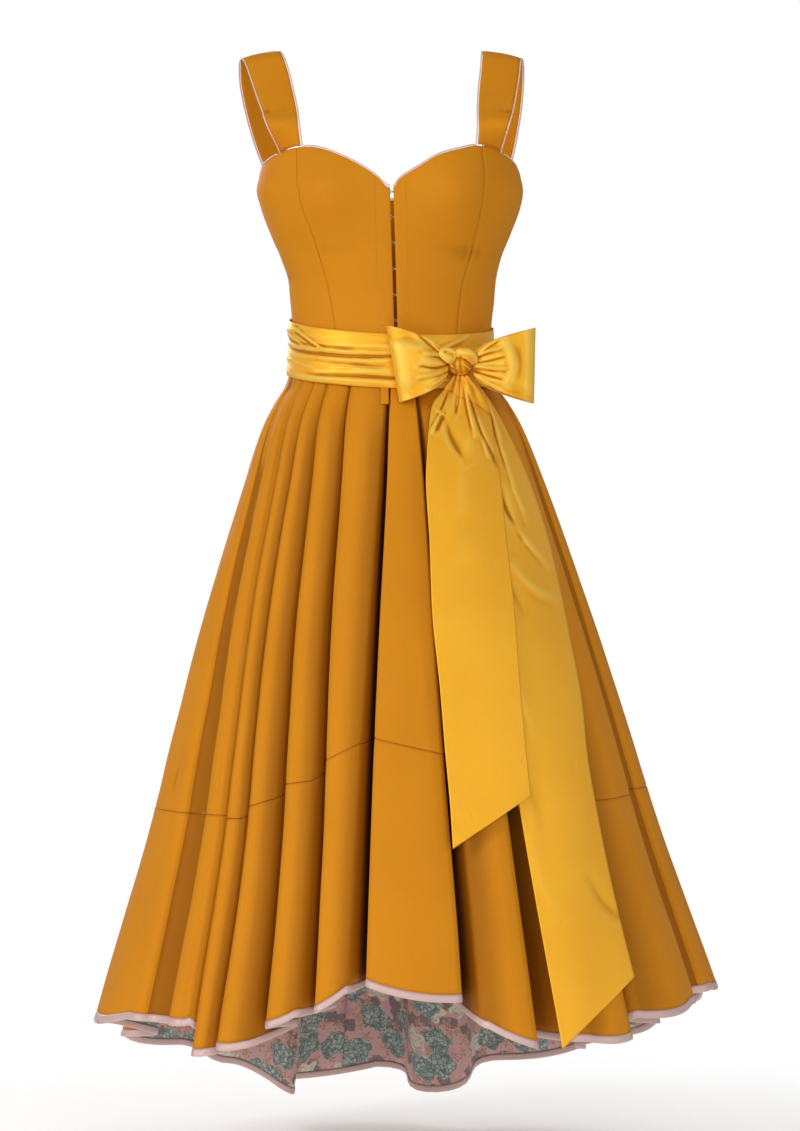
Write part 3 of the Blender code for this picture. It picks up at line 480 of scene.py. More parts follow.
def make_threads_group():
    group, given, out = new_group(
        "Threads", {"Vector": NOWHERE, "Threads per metre": 1200.0, "Unevenness": 0.5},
        {"Height": 0.0, "Tone": 0.0})
    place = scaled(group, given["Vector"], given["Threads per metre"])
    x, y = parts_of(group, place)
    over = node(group, "TexChecker", {"Vector": place, "Scale": 1.0}).outputs["Fac"]
    crossed = node(group, "Mix", {"Factor": over, 2: x.wave(math.pi), 3: y.wave(math.pi)}).outputs[0]
    stretched = node(group, "Mapping", {"Vector": given["Vector"], "Scale": SLUB_SCALE}).outputs[0]
    streak = (noise_at(group, stretched, 1.0, 3.0) - 0.5) * given["Unevenness"]
    feed(group, out["Height"], streak + crossed)
    feed(group, out["Tone"], streak)
    return group


# %% The group for slow changes of tone


def make_tone_group():
    group, given, out = new_group(
        "Cloth tone", {"Vector": NOWHERE, "Colour": WHITE, "Darker": BLACK, "Amount": 0.5},
        {"Colour": BLACK})
    broad = noise_at(group, given["Vector"], 7.0, 2.0)
    fine = noise_at(group, given["Vector"], 420.0, 2.0, 0.7)
    share = ramp(group, broad * 0.6 + fine * 0.4, 0.3, 0.7) * given["Amount"]
    feed(group, out["Colour"], blend_colour(group, share, given["Colour"], given["Darker"]))
    return group


THREADS = make_threads_group()
CLOTH_TONE = make_tone_group()


def use_group(tree, group, **values):
    """Places a group, with its inputs fed by name; an underscore stands for a space."""
    made = tree.nodes.new("ShaderNodeGroup")
    made.node_tree = group
    for key, value in values.items():
        feed(tree, made.inputs[key.replace("_", " ")], value)
    return made.outputs


def principled(name, **constants):
    """A new material: its tree, its shader's inputs, and the material."""
    material = bpy.data.materials.new(name)
    material.use_nodes = True
    tree = material.node_tree
    inputs = tree.nodes["Principled BSDF"].inputs
    for key, value in constants.items():
        inputs[key.replace("_", " ")].default_value = value
    return tree, inputs, material


def cloth_map(tree):
    """The piece's own map of the cloth, in metres."""
    return node(tree, "UVMap", uv_map="cloth").outputs[0]


def raise_surface(tree, inputs, height, distance, strength):
    made = node(tree, "Bump", {"Strength": strength, "Distance": distance, "Height": height})
    feed(tree, inputs["Normal"], made.outputs[0])

# %% [markdown]
# Light that reaches the bottom of a fold has bounced off orange cloth several times, so it is dimmer and
# deeper in colour. A render follows only a few bounces, so the materials paint this shade in, led by two
# attributes of each piece: "hollow" says how far a spot lies in a crease, and "shade" how deep it lies in a
# fold of the skirt. On the golden satin a painted highlight also lies where a spot stands out on a ridge.

# %% Orange twill and golden satin
TWILL_COLOUR = (0.73, 0.275, 0.0085, 1)
TWILL_SHADE = (0.64, 0.225, 0.006, 1)
# painted shade of the twill, in its creases and in the skirt's folds
TWILL_PAINTED_SHADE = (0.14, 0.032, 0.001, 1)
TWILL_ROUGHNESS = 0.60
SATIN_COLOUR = (1.0, 0.50, 0.034, 1)
SATIN_SHADE = (0.93, 0.395, 0.018, 1)
# painted shade in the golden satin's creases; the next colour is its gloss tint and a painted highlight on
# ridges
SATIN_PAINTED_SHADE = (0.46, 0.12, 0.003, 1)
SATIN_GLOSS_AND_PAINTED_HIGHLIGHT = (1.0, 0.67, 0.12, 1)
SATIN_STREAKS = 0.12                     # how far the roughness varies from thread to thread


def attribute(tree, name):
    return Value(tree, node(tree, "Attribute", attribute_name=name).outputs["Fac"])


def toned(tree, colour, shade, amount):
    """A colour with slow changes towards its shade over the whole dress."""
    return use_group(tree, CLOTH_TONE, Vector=node(tree, "TexCoord").outputs["Object"],
                     Colour=colour, Darker=shade, Amount=amount)["Colour"]


def make_twill():
    tree, inputs, material = principled(
        "orange_twill", Sheen_Weight=0.06, Sheen_Roughness=0.4, Specular_IOR_Level=0.12,
        Sheen_Tint=(1.0, 0.6, 0.15, 1))
    spot = cloth_map(tree)
    threads = use_group(tree, THREADS, Vector=spot, Threads_per_metre=1300.0, Unevenness=0.5)
    colour = toned(tree, TWILL_COLOUR, TWILL_SHADE, 0.55)
    # painted shade: the twill turns deep brown in a crease ("hollow") and deep in a skirt fold ("shade")
    crease = ramp(tree, attribute(tree, "hollow"), 0.22, 1.0, 0.0, 0.55)
    fold = attribute(tree, "shade").maths("MULTIPLY", 0.95, clamp=True)
    colour = blend_colour(tree, crease.maths("MAXIMUM", fold), colour, TWILL_PAINTED_SHADE)
    feed(tree, inputs["Base Color"], colour)
    feed(tree, inputs["Roughness"], Value(tree, threads["Tone"]) + TWILL_ROUGHNESS)
    raise_surface(tree, inputs, threads["Height"], 0.00012, 0.5)
    return material


def make_satin(name, colour, shade, roughness, metallic, deep=None, bright=WHITE):
    tree, inputs, material = principled(name, Metallic=metallic, Sheen_Weight=0.04, Specular_Tint=bright)
    spot = cloth_map(tree)
    threads = use_group(tree, THREADS, Vector=spot, Threads_per_metre=1800.0, Unevenness=1.0)
    colour = toned(tree, colour, shade, 0.5)
    # painted shade, a deeper orange, in the hollows of creases, and a painted highlight on their ridges
    if deep:
        hollow = attribute(tree, "hollow")
        colour = blend_colour(tree, ramp(tree, hollow, 0.0, 0.7, 0.0, 0.85), colour, deep)
        colour = blend_colour(tree, ramp(tree, hollow * -1.0, 0.0, 0.6, 0.0, 0.7), colour, bright)
    feed(tree, inputs["Base Color"], colour)
    feed(tree, inputs["Roughness"], Value(tree, threads["Tone"]) * SATIN_STREAKS + roughness)
    raise_surface(tree, inputs, threads["Height"], 0.00008, 0.45)
    return material


TWILL = Finish(make_twill(), "cloth", "twill")
SATIN = Finish(make_satin("golden_satin", SATIN_COLOUR, SATIN_SHADE, 0.30, 0.16, SATIN_PAINTED_SHADE, SATIN_GLOSS_AND_PAINTED_HIGHLIGHT),
               "satin", "satin")
PIPING_PINK = Finish(make_satin("piping_satin", (0.88, 0.62, 0.52, 1), (0.78, 0.48, 0.40, 1), 0.45, 0.0),
                     "piping", "satin")
BINDING_PINK = Finish(make_satin("binding_satin", (0.72, 0.50, 0.47, 1), (0.60, 0.40, 0.36, 1), 0.38, 0.1),
                      "binding", "satin")
print("cloths:", ", ".join(finish.material.name for finish in (TWILL, SATIN, PIPING_PINK, BINDING_PINK)))

# %% [markdown]
# ## The printed lining
#
# Inside the lower tier a jacquard shows: mauve, ribbed along the cloth, with teal roses, pale blossoms,
# leaves and small sprigs. A Voronoi texture scatters the motifs: it gives each one a middle point and
# a random colour, so a flower is a formula in the distance and the angle from its own middle. A cosine
# gives it lobes, and a spiral its lines. The roses are filled with small petals of a second Voronoi texture.

# %% The group that draws one kind of flower
FLOWER_WANDER = (0.006, 0.006, 0.0)      # metres by which the print's lines waver
SCALLOP_DEPTH = 0.28                     # of the lines inside a flower, as a share of their spacing


def make_flower_group():
    group, given, out = new_group(
        "Flower", {"Vector": NOWHERE, "Per metre": 20.0, "Shift": NOWHERE, "Size": 0.36, "Lobes": 5.0,
                   "Lobe depth": 0.15, "Turns": 3.0, "Rarity": 0.5},
        {"Mask": 0.0, "Lines": 0.0, "Radius": 0.0})
    moved = vector_maths(group, "ADD", given["Vector"], given["Shift"]).outputs[0]
    wander = node(group, "TexNoise", {"Vector": moved, "Scale": 130.0, "Detail": 2.0}).outputs["Color"]
    wander = vector_maths(group, "SUBTRACT", wander, (0.5, 0.5, 0.5)).outputs[0]
    wander = vector_maths(group, "MULTIPLY", wander, FLOWER_WANDER).outputs[0]
    rough_place = vector_maths(group, "ADD", moved, wander).outputs[0]
    cells = node(group, "TexVoronoi", {"Vector": rough_place, "Scale": given["Per metre"],
                                       "Randomness": 0.62}, voronoi_dimensions="2D")
    spread_out = scaled(group, rough_place, given["Per metre"])
    middle = scaled(group, cells.outputs["Position"], given["Per metre"])
    local = vector_maths(group, "SUBTRACT", spread_out, middle)
    x, y = parts_of(group, local.outputs[0])
    colour = node(group, "SeparateColor", (cells.outputs["Color"],)).outputs
    spin, chance = Value(group, colour[0]), Value(group, colour[1])
    turned = y.maths("ARCTAN2", x) + spin * (2 * math.pi)
    lobes = (turned * given["Lobes"]).maths("COSINE")
    distance = Value(group, vector_maths(group, "LENGTH", local.outputs[0]).outputs["Value"])
    radius = distance / ((lobes * given["Lobe depth"] + 1.0) * given["Size"])
    feed(group, out["Mask"], ramp(group, radius, 1.0, 0.9) * chance.maths("GREATER_THAN", given["Rarity"]))
    scallop = (turned * 3.0).maths("SINE") * SCALLOP_DEPTH
    ring = (radius * given["Turns"] + turned / (2 * math.pi) + scallop).maths("FRACT")
    feed(group, out["Lines"], ramp(group, (ring - 0.5).maths("ABSOLUTE"), 0.30, 0.46))
    feed(group, out["Radius"], radius)
    return group


FLOWER = make_flower_group()

# %% Lining jacquard
MAUVE = (0.58, 0.29, 0.29, 1)
MAUVE_LIGHT = (0.82, 0.52, 0.49, 1)
TEAL = (0.17, 0.33, 0.30, 1)
TEAL_DARK = (0.04, 0.095, 0.10, 1)
TEAL_LIGHT = (0.46, 0.60, 0.53, 1)
CREAM = (0.78, 0.74, 0.60, 1)
CREAM_SHADE = (0.48, 0.47, 0.38, 1)
RUST = (0.46, 0.19, 0.09, 1)
PLUM = (0.14, 0.075, 0.11, 1)
RIBS_PER_METRE, PETALS_PER_METRE = 620.0, 165.0
GRAIN_SCALE = (900.0, 260.0, 1.0)
FLOWER_COLUMNS = "per_metre shift size lobes lobe_depth turns rarity cover colour line_colour"
LEAF, SPRIG, BLOSSOM, ROSE = table(
    FLOWER_COLUMNS,
    (34.0, (0.31, 0.17, 0), 0.42, 2.0, 0.6, 1.5, 0.35, 0.8, TEAL_DARK, PLUM),
    (62.0, (0.05, 0.71, 0), 0.40, 5.0, 0.5, 2.0, 0.45, 0.85, RUST, CREAM),
    (27.0, (0.0, 0.0, 0), 0.40, 5.0, 0.22, 1.6, 0.62, 1.0, CREAM, CREAM_SHADE),
    (25.0, (0.113, 0.057, 0), 0.50, 5.0, 0.12, 1.4, 0.46, 1.0, TEAL, TEAL_DARK),
)


def scatter(tree, spot, kind):
    """The group's masks for one kind of flower."""
    return use_group(tree, FLOWER, Vector=spot, Per_metre=kind.per_metre, Shift=kind.shift, Size=kind.size,
                     Lobes=kind.lobes, Lobe_depth=kind.lobe_depth, Turns=kind.turns, Rarity=kind.rarity)


def make_lining():
    tree, inputs, material = principled("rose_jacquard", Sheen_Weight=0.1, Specular_IOR_Level=0.4)
    spot = cloth_map(tree)
    across, _ = parts_of(tree, spot)
    rib = across.wave(math.pi * RIBS_PER_METRE)
    ground = blend_colour(tree, ramp(tree, rib, 0.2, 0.9), MAUVE, MAUVE_LIGHT)
    cloudy = noise_at(tree, spot, 45.0, 3.0)
    ground = blend_colour(tree, ramp(tree, cloudy, 0.5, 0.8, 0.0, 0.5), ground, RUST)

    for kind in (LEAF, SPRIG, BLOSSOM):
        flower = scatter(tree, spot, kind)
        colour = blend_colour(tree, flower["Lines"], kind.colour, kind.line_colour)
        ground = blend_colour(tree, Value(tree, flower["Mask"]) * kind.cover, ground, colour)

    rose = scatter(tree, spot, ROSE)
    petal = node(tree, "TexVoronoi", {"Vector": spot, "Scale": PETALS_PER_METRE}, voronoi_dimensions="2D")
    edge = node(tree, "TexVoronoi", {"Vector": spot, "Scale": PETALS_PER_METRE}, voronoi_dimensions="2D",
                feature="DISTANCE_TO_EDGE").outputs["Distance"]
    lit = Value(tree, node(tree, "SeparateColor", (petal.outputs["Color"],)).outputs[0])
    lit = lit + 0.25 - Value(tree, rose["Radius"]) * 0.5
    petals = blend_colour(tree, ramp(tree, lit, 0.0, 0.8), ROSE.colour, TEAL_LIGHT)
    petals = blend_colour(tree, ramp(tree, edge, 0.13, 0.03, 0.0, 0.85), petals, ROSE.line_colour)
    petals = blend_colour(tree, Value(tree, rose["Lines"]) * 0.6, petals, ROSE.line_colour)
    ground = blend_colour(tree, rose["Mask"], ground, petals)

    grain = node(tree, "Mapping", {"Vector": spot, "Scale": GRAIN_SCALE}).outputs[0]
    grain = noise_at(tree, grain, 1.0)
    ground = blend_colour(tree, ramp(tree, grain, 0.35, 0.75, 0.0, 0.35), ground, MAUVE_LIGHT)
    feed(tree, inputs["Base Color"], ground)
    feed(tree, inputs["Roughness"], ramp(tree, rib, 0.0, 1.0, 0.72, 0.52))
    raise_surface(tree, inputs, rib, 0.0003, 0.5)
    return material


LINING_CLOTH = Finish(make_lining(), "lining", "jacquard")
print("lining:", LINING_CLOTH.material.name)

# %% [markdown]
# ## The bodice
#
# A dirndl's bodice is cut close, in panels. The seams that run over the bust, the princess seams, shape the
# cups. A single sheet could be bent to the same form, but the seams would then be drawn on. Here each panel
# is its own piece, and its edges turn in by a hair, as sewn edges do: the thin dark line between two panels
# is then a real groove. The points stand closer together near the edges, where they bend most.

# %% The bodice's tables and edges
CUP_X, CUP_Z = 84.0, -188.0
CUP_SPREAD_X, CUP_SPREAD_Z = 40.0, 46.0
CUP_DEPTH, CUP_FADE = 15.0, 60.0
PRINCESS = table(
    "z left right",
    (-125, -119.0, 114.0), (-168, -118.5, 118.0), (-203, -113.5, 115.0),
    (-236, -101.0, 108.0), (-274, -88.5, 98.0), (-312, -78.5, 89.0),
    (-359, -71.0, 84.0), (-410, -68.0, 82.0),
)
NECKLINE = table(
    "at z",
    (-163, -147), (-152, -141), (-139, -136), (-126, -131.5), (-114, -130.5),
    (-101, -131), (-88, -133.5), (-63, -143.5), (-37, -157), (-18, -170),
    (-1, -184.5), (3, -184.5), (10, -174.5), (36, -157), (61, -142),
    (88, -133.5), (110, -128.5), (123, -129), (139, -135), (152, -142.5),
    (161, -150), (166, -160),
)
BACK_EDGE = table("at z", (90, -160), (105, -176), (122, -180), (140, -178), (180, -180))
EDGE_JOIN_FROM = 80.0
SIDE_SEAM_ANGLE = 90.0
WAIST_Z, WAIST_DIP = -385.0, 15.0
OPENING_WIDTH = 4.0
OPENING_TOP, OPENING_BOTTOM = (1.0, -184.0), (7.6, -400.0)
BACK_SEAM_TOP, BACK_SEAM_WAIST = (88.0, -175.0), (52.0, -385.0)
SEAM = 0.3
TWILL_WALL = 1.4


def bodice_point(degrees, z):
    """The form with the two cups."""
    point = ring_point(degrees, z)
    if point.y < 0:
        for centre in (-CUP_X, CUP_X):
            swell = bump(point.x - centre, CUP_SPREAD_X) * bump(z - CUP_Z, CUP_SPREAD_Z)
            point.y -= CUP_DEPTH * min(1.0, -point.y / CUP_FADE) * swell
    return point


def waist_z(degrees):
    return WAIST_Z - WAIST_DIP * math.cos(math.radians(degrees))


def top_edge_z(degrees):
    turned = (degrees + 180) % 360 - 180
    if abs(turned) > SIDE_SEAM_ANGLE:
        return read(BACK_EDGE, abs(turned), "z")
    z = -150.0
    for _ in range(6):
        z = read(NECKLINE, bodice_point(turned, z).x, "z")
    share = max(0.0, (abs(turned) - EDGE_JOIN_FROM) / (SIDE_SEAM_ANGLE - EDGE_JOIN_FROM))
    return mix(z, BACK_EDGE[0].z, share * share)


def opening_x(z, side):
    """The edge of the front opening: side is -1 for the left front and +1 for the right."""
    share = (z - OPENING_TOP[1]) / (OPENING_BOTTOM[1] - OPENING_TOP[1])
    return mix(OPENING_TOP[0], OPENING_BOTTOM[0], share) + side * OPENING_WIDTH / 2


def princess_angle(z, side):
    return angle_at(read(PRINCESS, z, "left" if side < 0 else "right"), z)


def front_edge_angle(z, side):
    return angle_at(opening_x(z, side), z)


def back_seam_angle(z, side):
    share = (z - BACK_SEAM_TOP[1]) / (BACK_SEAM_WAIST[1] - BACK_SEAM_TOP[1])
    return 180.0 - angle_at(side * mix(BACK_SEAM_TOP[0], BACK_SEAM_WAIST[0], share), z)


# %% One panel of the bodice
PANEL_COLUMNS, PANEL_ROWS = 34, 60
EDGE_DIP, EDGE_DIP_WIDTH = 0.8, 2.0      # how far and how near the edge a sewn edge turns in
PUCKER, PUCKER_EVERY, PUCKER_WIDTH, PUCKER_AWAY = 0.22, 9.0, 7.0, 2.5
DRAG, DRAG_WIDTH, DRAG_HEIGHT, DRAG_AWAY = 0.5, 38, 60, 12
CROWDING = 0.75
FIRST_TOP = -160.0                       # a guess of the top edge, from which the passes find it
EDGE_PASSES = 5


def crowded(share):
    """Moves the points of a row towards both ends."""
    return mix(share, smooth(share), CROWDING)


def panel(node_name, left, right):
    """One panel between two seams, each a function of height that gives an angle."""
    tops, lows = [], []
    for i in range(PANEL_COLUMNS + 1):
        top, low = FIRST_TOP, WAIST_Z
        for _ in range(EDGE_PASSES):
            top = top_edge_z(mix(left(top), right(top), crowded(i / PANEL_COLUMNS)))
            low = waist_z(mix(left(low), right(low), crowded(i / PANEL_COLUMNS))) + SEAM
        tops.append(top)
        lows.append(low)

    def place(i, j):
        z = mix(tops[i], lows[i], crowded(j / PANEL_ROWS))
        start, stop = left(z), right(z)
        share = crowded(i / PANEL_COLUMNS)
        angle = mix(start, stop, share)
        point = bodice_point(angle, z)
        across = bodice_point(stop, z) - bodice_point(start, z)
        span = across.length
        edge = min(share, 1 - share) * span
        lift = -EDGE_DIP * (bump(edge, EDGE_DIP_WIDTH) + 0.8 * bump(tops[i] - z, EDGE_DIP_WIDTH))
        turns = 2 * math.pi * z / PUCKER_EVERY + 2 * rough(z / 23, span / 9, 3)
        lift += PUCKER * math.sin(turns) * bump(edge - PUCKER_AWAY, PUCKER_WIDTH) * 0.6
        dragged = rough(point.x / DRAG_WIDTH, point.y / DRAG_WIDTH, z / DRAG_HEIGHT)
        lift += DRAG * dragged * smooth(edge / DRAG_AWAY)
        inward = (SEAM / 2) * (1 if share < 0.5 else -1) * (1 if i in (0, PANEL_COLUMNS) else 0)
        return point + facing(bodice_point, angle, z) * lift + across.normalized() * inward

    cloth(node_name, TWILL, place, PANEL_COLUMNS, PANEL_ROWS, TWILL_WALL, "stretched")


BODICE_PANELS = [
    ("bodice_front_left", lambda z: princess_angle(z, -1), lambda z: front_edge_angle(z, -1)),
    ("bodice_front_right", lambda z: front_edge_angle(z, 1), lambda z: princess_angle(z, 1)),
    ("bodice_side_front_left", lambda z: -SIDE_SEAM_ANGLE, lambda z: princess_angle(z, -1)),
    ("bodice_side_front_right", lambda z: princess_angle(z, 1), lambda z: SIDE_SEAM_ANGLE),
    ("bodice_side_back_right", lambda z: SIDE_SEAM_ANGLE, lambda z: back_seam_angle(z, 1)),
    ("bodice_back", lambda z: back_seam_angle(z, 1), lambda z: back_seam_angle(z, -1)),
    ("bodice_side_back_left", lambda z: back_seam_angle(z, -1), lambda z: 360.0 - SIDE_SEAM_ANGLE),
]
for node_name, left_seam, right_seam in BODICE_PANELS:
    panel(node_name, left_seam, right_seam)
print(len(BODICE_PANELS), "panels")

# %% [markdown]
# ## Straps and piping
#
# The straps are two layers of the twill, curved over the shoulder. Piping is a cord wrapped in satin, sewn
# into every edge of the neck, the armholes and the straps. It could be a curve with a bevel. A grid that
# is rolled round the same line gives the same cord, and its cloth map besides.

# %% Straps
STRAP_WAY = table(
    "y inner_z outer_z left_inner left_outer right_inner right_outer",
    (-88, -101, -103, -116.7, -154.4, 110.5, 147.0), (-70, -80, -84, -119.6, -160.5, 110.5, 152.5),
    (-48, -53, -58, -125.4, -169.7, 112.3, 157.7), (-28, -25, -33, -132.3, -178.0, 115.4, 161.8),
    (-13, -6, -14, -139.0, -185.0, 116.9, 164.0), (4, 1, -8, -145.0, -190.5, 118.5, 166.5),
    (22, -6, -16, -149.0, -193.5, 121.0, 168.8), (42, -27, -38, -150.0, -193.0, 123.5, 169.2),
    (62, -58, -68, -147.5, -187.5, 124.0, 167.0), (80, -98, -106, -141.0, -177.0, 122.0, 161.0),
    (93, -140, -146, -131.0, -162.0, 117.0, 152.0),
)
StrapEnd = namedtuple("StrapEnd", "front_inner front_outer back_inner back_outer")
STRAP_ENDS = {"left": StrapEnd(-114.5, -138.5, -140.5, -123.5), "right": StrapEnd(110.5, 138.0, 141.0, 123.0)}
STRAP_RISE, STRAP_CROWN, STRAP_DEPTH, STRAP_WALL = 1.6, 1.5, 90.0, 2.2
STRAP_COLUMNS, STRAP_ROWS = 14, 90
STRAP_EDGE_ROLL, STRAP_ROLL_WIDTH, STRAP_DENT = 0.5, 0.06, 0.35


def edge_point(degrees, rise):
    """A point over the top edge of the bodice, at the middle of its wall."""
    return lifted(bodice_point, degrees, top_edge_z(degrees), -TWILL_WALL / 2) + Vector((0, 0, rise))


def front_angle(x):
    z = -140.0
    for _ in range(6):
        degrees = angle_at(x, z)
        z = top_edge_z(degrees)
    return degrees


def through(points, share):
    """A point on the smooth curve through a list of points; share runs from 0 to 1."""
    place = clamp(share) * (len(points) - 1)
    index = min(int(place), len(points) - 2)
    t = place - index
    b, c = points[index], points[index + 1]
    a = points[index - 1] if index else b * 2 - c
    d = points[index + 2] if index + 2 < len(points) else c * 2 - b
    return 0.5 * (2 * b + (c - a) * t + (2 * a - 5 * b + 4 * c - d) * t ** 2
                  + (3 * b - a - 3 * c + d) * t ** 3)


def strap_edges(side):
    """The inner, middle and outer lines of a strap, from the front seam over the shoulder to the back."""
    end, lines = STRAP_ENDS[side], []
    for share in (0.0, 0.5, 1.0):
        x = mix(end.front_inner, end.front_outer, share)
        line = [edge_point(front_angle(x), STRAP_RISE)]
        for row in STRAP_WAY:
            x = mix(getattr(row, side + "_inner"), getattr(row, side + "_outer"), share)
            point = Vector((x, row.y, mix(row.inner_z, row.outer_z, share)))
            crown = math.sin(math.pi * clamp((row.y + STRAP_DEPTH) / (2 * STRAP_DEPTH)))
            point.z += STRAP_CROWN * crown * (4 * share * (1 - share))
            line.append(point)
        line.append(edge_point(mix(end.back_inner, end.back_outer, share), STRAP_RISE))
        lines.append(line)
    return lines


def make_strap(side, turn):
    inner, middle, outer = strap_edges(side)

    def flat_place(i, j):
        share, down = i / STRAP_COLUMNS, j / STRAP_ROWS
        if turn < 0:
            share = 1 - share
        a, b, c = (through(line, 1 - down) for line in (inner, middle, outer))
        return a * (1 - share) * (1 - 2 * share) + b * 4 * share * (1 - share) + c * share * (2 * share - 1)

    def place(i, j):
        i_low, i_high = max(i - 1, 0), min(i + 1, STRAP_COLUMNS)
        j_low, j_high = max(j - 1, 0), min(j + 1, STRAP_ROWS)
        across = flat_place(i_high, j) - flat_place(i_low, j)
        down = flat_place(i, j_low) - flat_place(i, j_high)
        out = across.cross(down).normalized()
        share = i / STRAP_COLUMNS
        rolled = bump(share, STRAP_ROLL_WIDTH) + bump(1 - share, STRAP_ROLL_WIDTH)
        lift = STRAP_WALL / 2 - STRAP_EDGE_ROLL * rolled
        lift += STRAP_DENT * rough(i / 5, j / 14, turn * 7)
        return flat_place(i, j) + out * lift

    cloth(f"strap_{side}", TWILL, place, STRAP_COLUMNS, STRAP_ROWS, STRAP_WALL, "stretched")
    return inner, outer


STRAP_LINES = {"left": make_strap("left", -1), "right": make_strap("right", 1)}

# %% Piping
PIPING_RADIUS = 1.0
PIPING_CLEARANCE = 1.6
PIPING_BACK_CLEARANCE = 2.2
PIPING_END_RISE = 2.6
CORD_STEP, CORD_SIDES = 2.5, 12
FINE_STEPS_A_POINT = 12
PIPING_ENDS = 1.6                        # degrees from a strap at which the piping of an edge ends


def evenly(points, step):
    """Points a step apart on the smooth curve through a list of points."""
    fine_steps = len(points) * FINE_STEPS_A_POINT
    fine = [through(points, k / fine_steps) for k in range(fine_steps + 1)]
    run = [0.0]
    for one, other in zip(fine, fine[1:]):
        run.append(run[-1] + (other - one).length)
    count = max(2, round(run[-1] / step))
    result, index = [], 0
    for k in range(count + 1):
        target = run[-1] * k / count
        while index < len(run) - 2 and run[index + 1] < target:
            index += 1
        share = (target - run[index]) / max(run[index + 1] - run[index], 1e-9)
        result.append(fine[index].lerp(fine[index + 1], min(1.0, share)))
    return result


def frames_along(points):
    """A direction and two cross directions at each point, turned as little as possible on the way."""
    frames, cross = [], None
    for index in range(len(points)):
        along = (points[min(index + 1, len(points) - 1)] - points[max(index - 1, 0)]).normalized()
        if cross is None:
            cross = along.orthogonal().normalized()
        cross = (cross - along * cross.dot(along)).normalized()
        frames.append((along, cross, along.cross(cross)))
    return frames


def cord(node_name, finish, points, radius, step=CORD_STEP, sides=CORD_SIDES):
    """A round cord along a line: a grid rolled up, with its edge welded and its ends closed."""
    line = evenly(points, step)
    frames = frames_along(line)

    def place(i, j):
        _, one, other = frames[i]
        turn = 2 * math.pi * j / sides
        return line[i] + one * math.cos(turn) * radius + other * math.sin(turn) * radius

    bm, grid = shaped_grid(place, len(line) - 1, sides)
    map_cloth(bm, grid, len(line) - 1, sides)
    bmesh.ops.remove_doubles(bm, verts=bm.verts, dist=radius * MM * 0.05)
    bmesh.ops.holes_fill(bm, edges=[edge for edge in bm.edges if edge.is_boundary], sides=sides)
    bmesh.ops.recalc_face_normals(bm, faces=bm.faces)
    finish_piece(bm, f"{node_name}_{finish.ending}", finish, [node_name])


def shifted(line, other_line, away):
    """A line beside another one, further from its partner by this much."""
    return [point + (point - partner).normalized() * away for point, partner in zip(line, other_line)]


def make_piping(side, turn):
    end = STRAP_ENDS[side]
    inner, outer = STRAP_LINES[side]
    rise = Vector((0, 0, PIPING_END_RISE))
    inner_edge = shifted(inner, outer, PIPING_CLEARANCE)
    outer_edge = shifted(outer, inner, PIPING_CLEARANCE)
    start = front_angle(OPENING_TOP[0] + turn * OPENING_WIDTH / 2)
    neck_run = spread(start, front_angle(end.front_inner) - turn * PIPING_ENDS, 24)
    neck = [edge_point(angle, PIPING_CLEARANCE) for angle in neck_run]
    cord(f"piping_neck_{side}", PIPING_PINK, neck + inner_edge[1:-1] + [inner_edge[-1] + rise],
         PIPING_RADIUS)
    front_run = spread(front_angle(end.front_outer) + turn * PIPING_ENDS, turn * SIDE_SEAM_ANGLE, 8)
    back_run = spread(turn * (SIDE_SEAM_ANGLE + 3.0), end.back_outer - turn * 2.0, 10)
    around = [edge_point(angle, PIPING_CLEARANCE) for angle in front_run]
    around += [edge_point(angle, PIPING_BACK_CLEARANCE) for angle in back_run]
    cord(f"piping_armhole_{side}", PIPING_PINK, [outer_edge[-1] + rise] + outer_edge[-2:0:-1] + around,
         PIPING_RADIUS)


make_piping("left", -1)
make_piping("right", 1)
back_line = spread(STRAP_ENDS["right"].back_inner + 2.0, 360.0 + STRAP_ENDS["left"].back_inner - 2.0, 20)
cord("piping_back", PIPING_PINK, [edge_point(angle, PIPING_CLEARANCE) for angle in back_line],
     PIPING_RADIUS)
print("piping on the neck, both armholes and the back")

# %% [markdown]
# ## The skirt
#
# Two tiers of twill hang from the waist in folds that run to the hem. The front hem is high and the back
# hem low, so the folds behind show their printed lining. A cloth simulation would find such folds by
# itself, but not these ones. A table of eighteen folds does: where each starts at the waist and ends at the
# hem, how wide its mouth is and how deep it goes. Between two folds lies a crest, with its own stretch of
# seam and hem. All layers of the lower tier ask the same rule, so they follow each other everywhere.

# %% The tables of folds and crests
FOLDS = table(
    "waist hem mouth depth drop steep",
    (-76, -53.5, 8.5, 24, 2, 0),
    (-58, -40.6, 2.2, 46, 0, 1),
    (-47, -35.3, 2.2, 74, 0, 1),
    (-37, -25.9, 3.2, 86, 0, 1),
    (-22, -16.9, 3.0, 86, 0, 1),
    (1, -7.7, 3.0, 104, 0, 1),
    (12, 9.6, 3.6, 86, 0, -1),
    (32, 22.6, 8.0, 92, -6, -1),
    (52, 42.5, 3.0, 58, 0, -1),
    (75, 72.0, 8.0, 22, 0, 0),
    (99, 98.0, 6.0, 60, 4, 0),
    (120, 120.0, 6.0, 70, 4, 0),
    (142, 142.0, 5.0, 42, 0, 0),
    (172, 174.0, 12.0, 76, 32, 0),
    (204, 203.5, 10.0, 76, 18, -1),
    (226, 224.5, 4.2, 44, 0, 0),
    (250, 252.0, 6.0, 62, 4, 0),
    (267, 273.0, 6.0, 38, 0, 0),
)
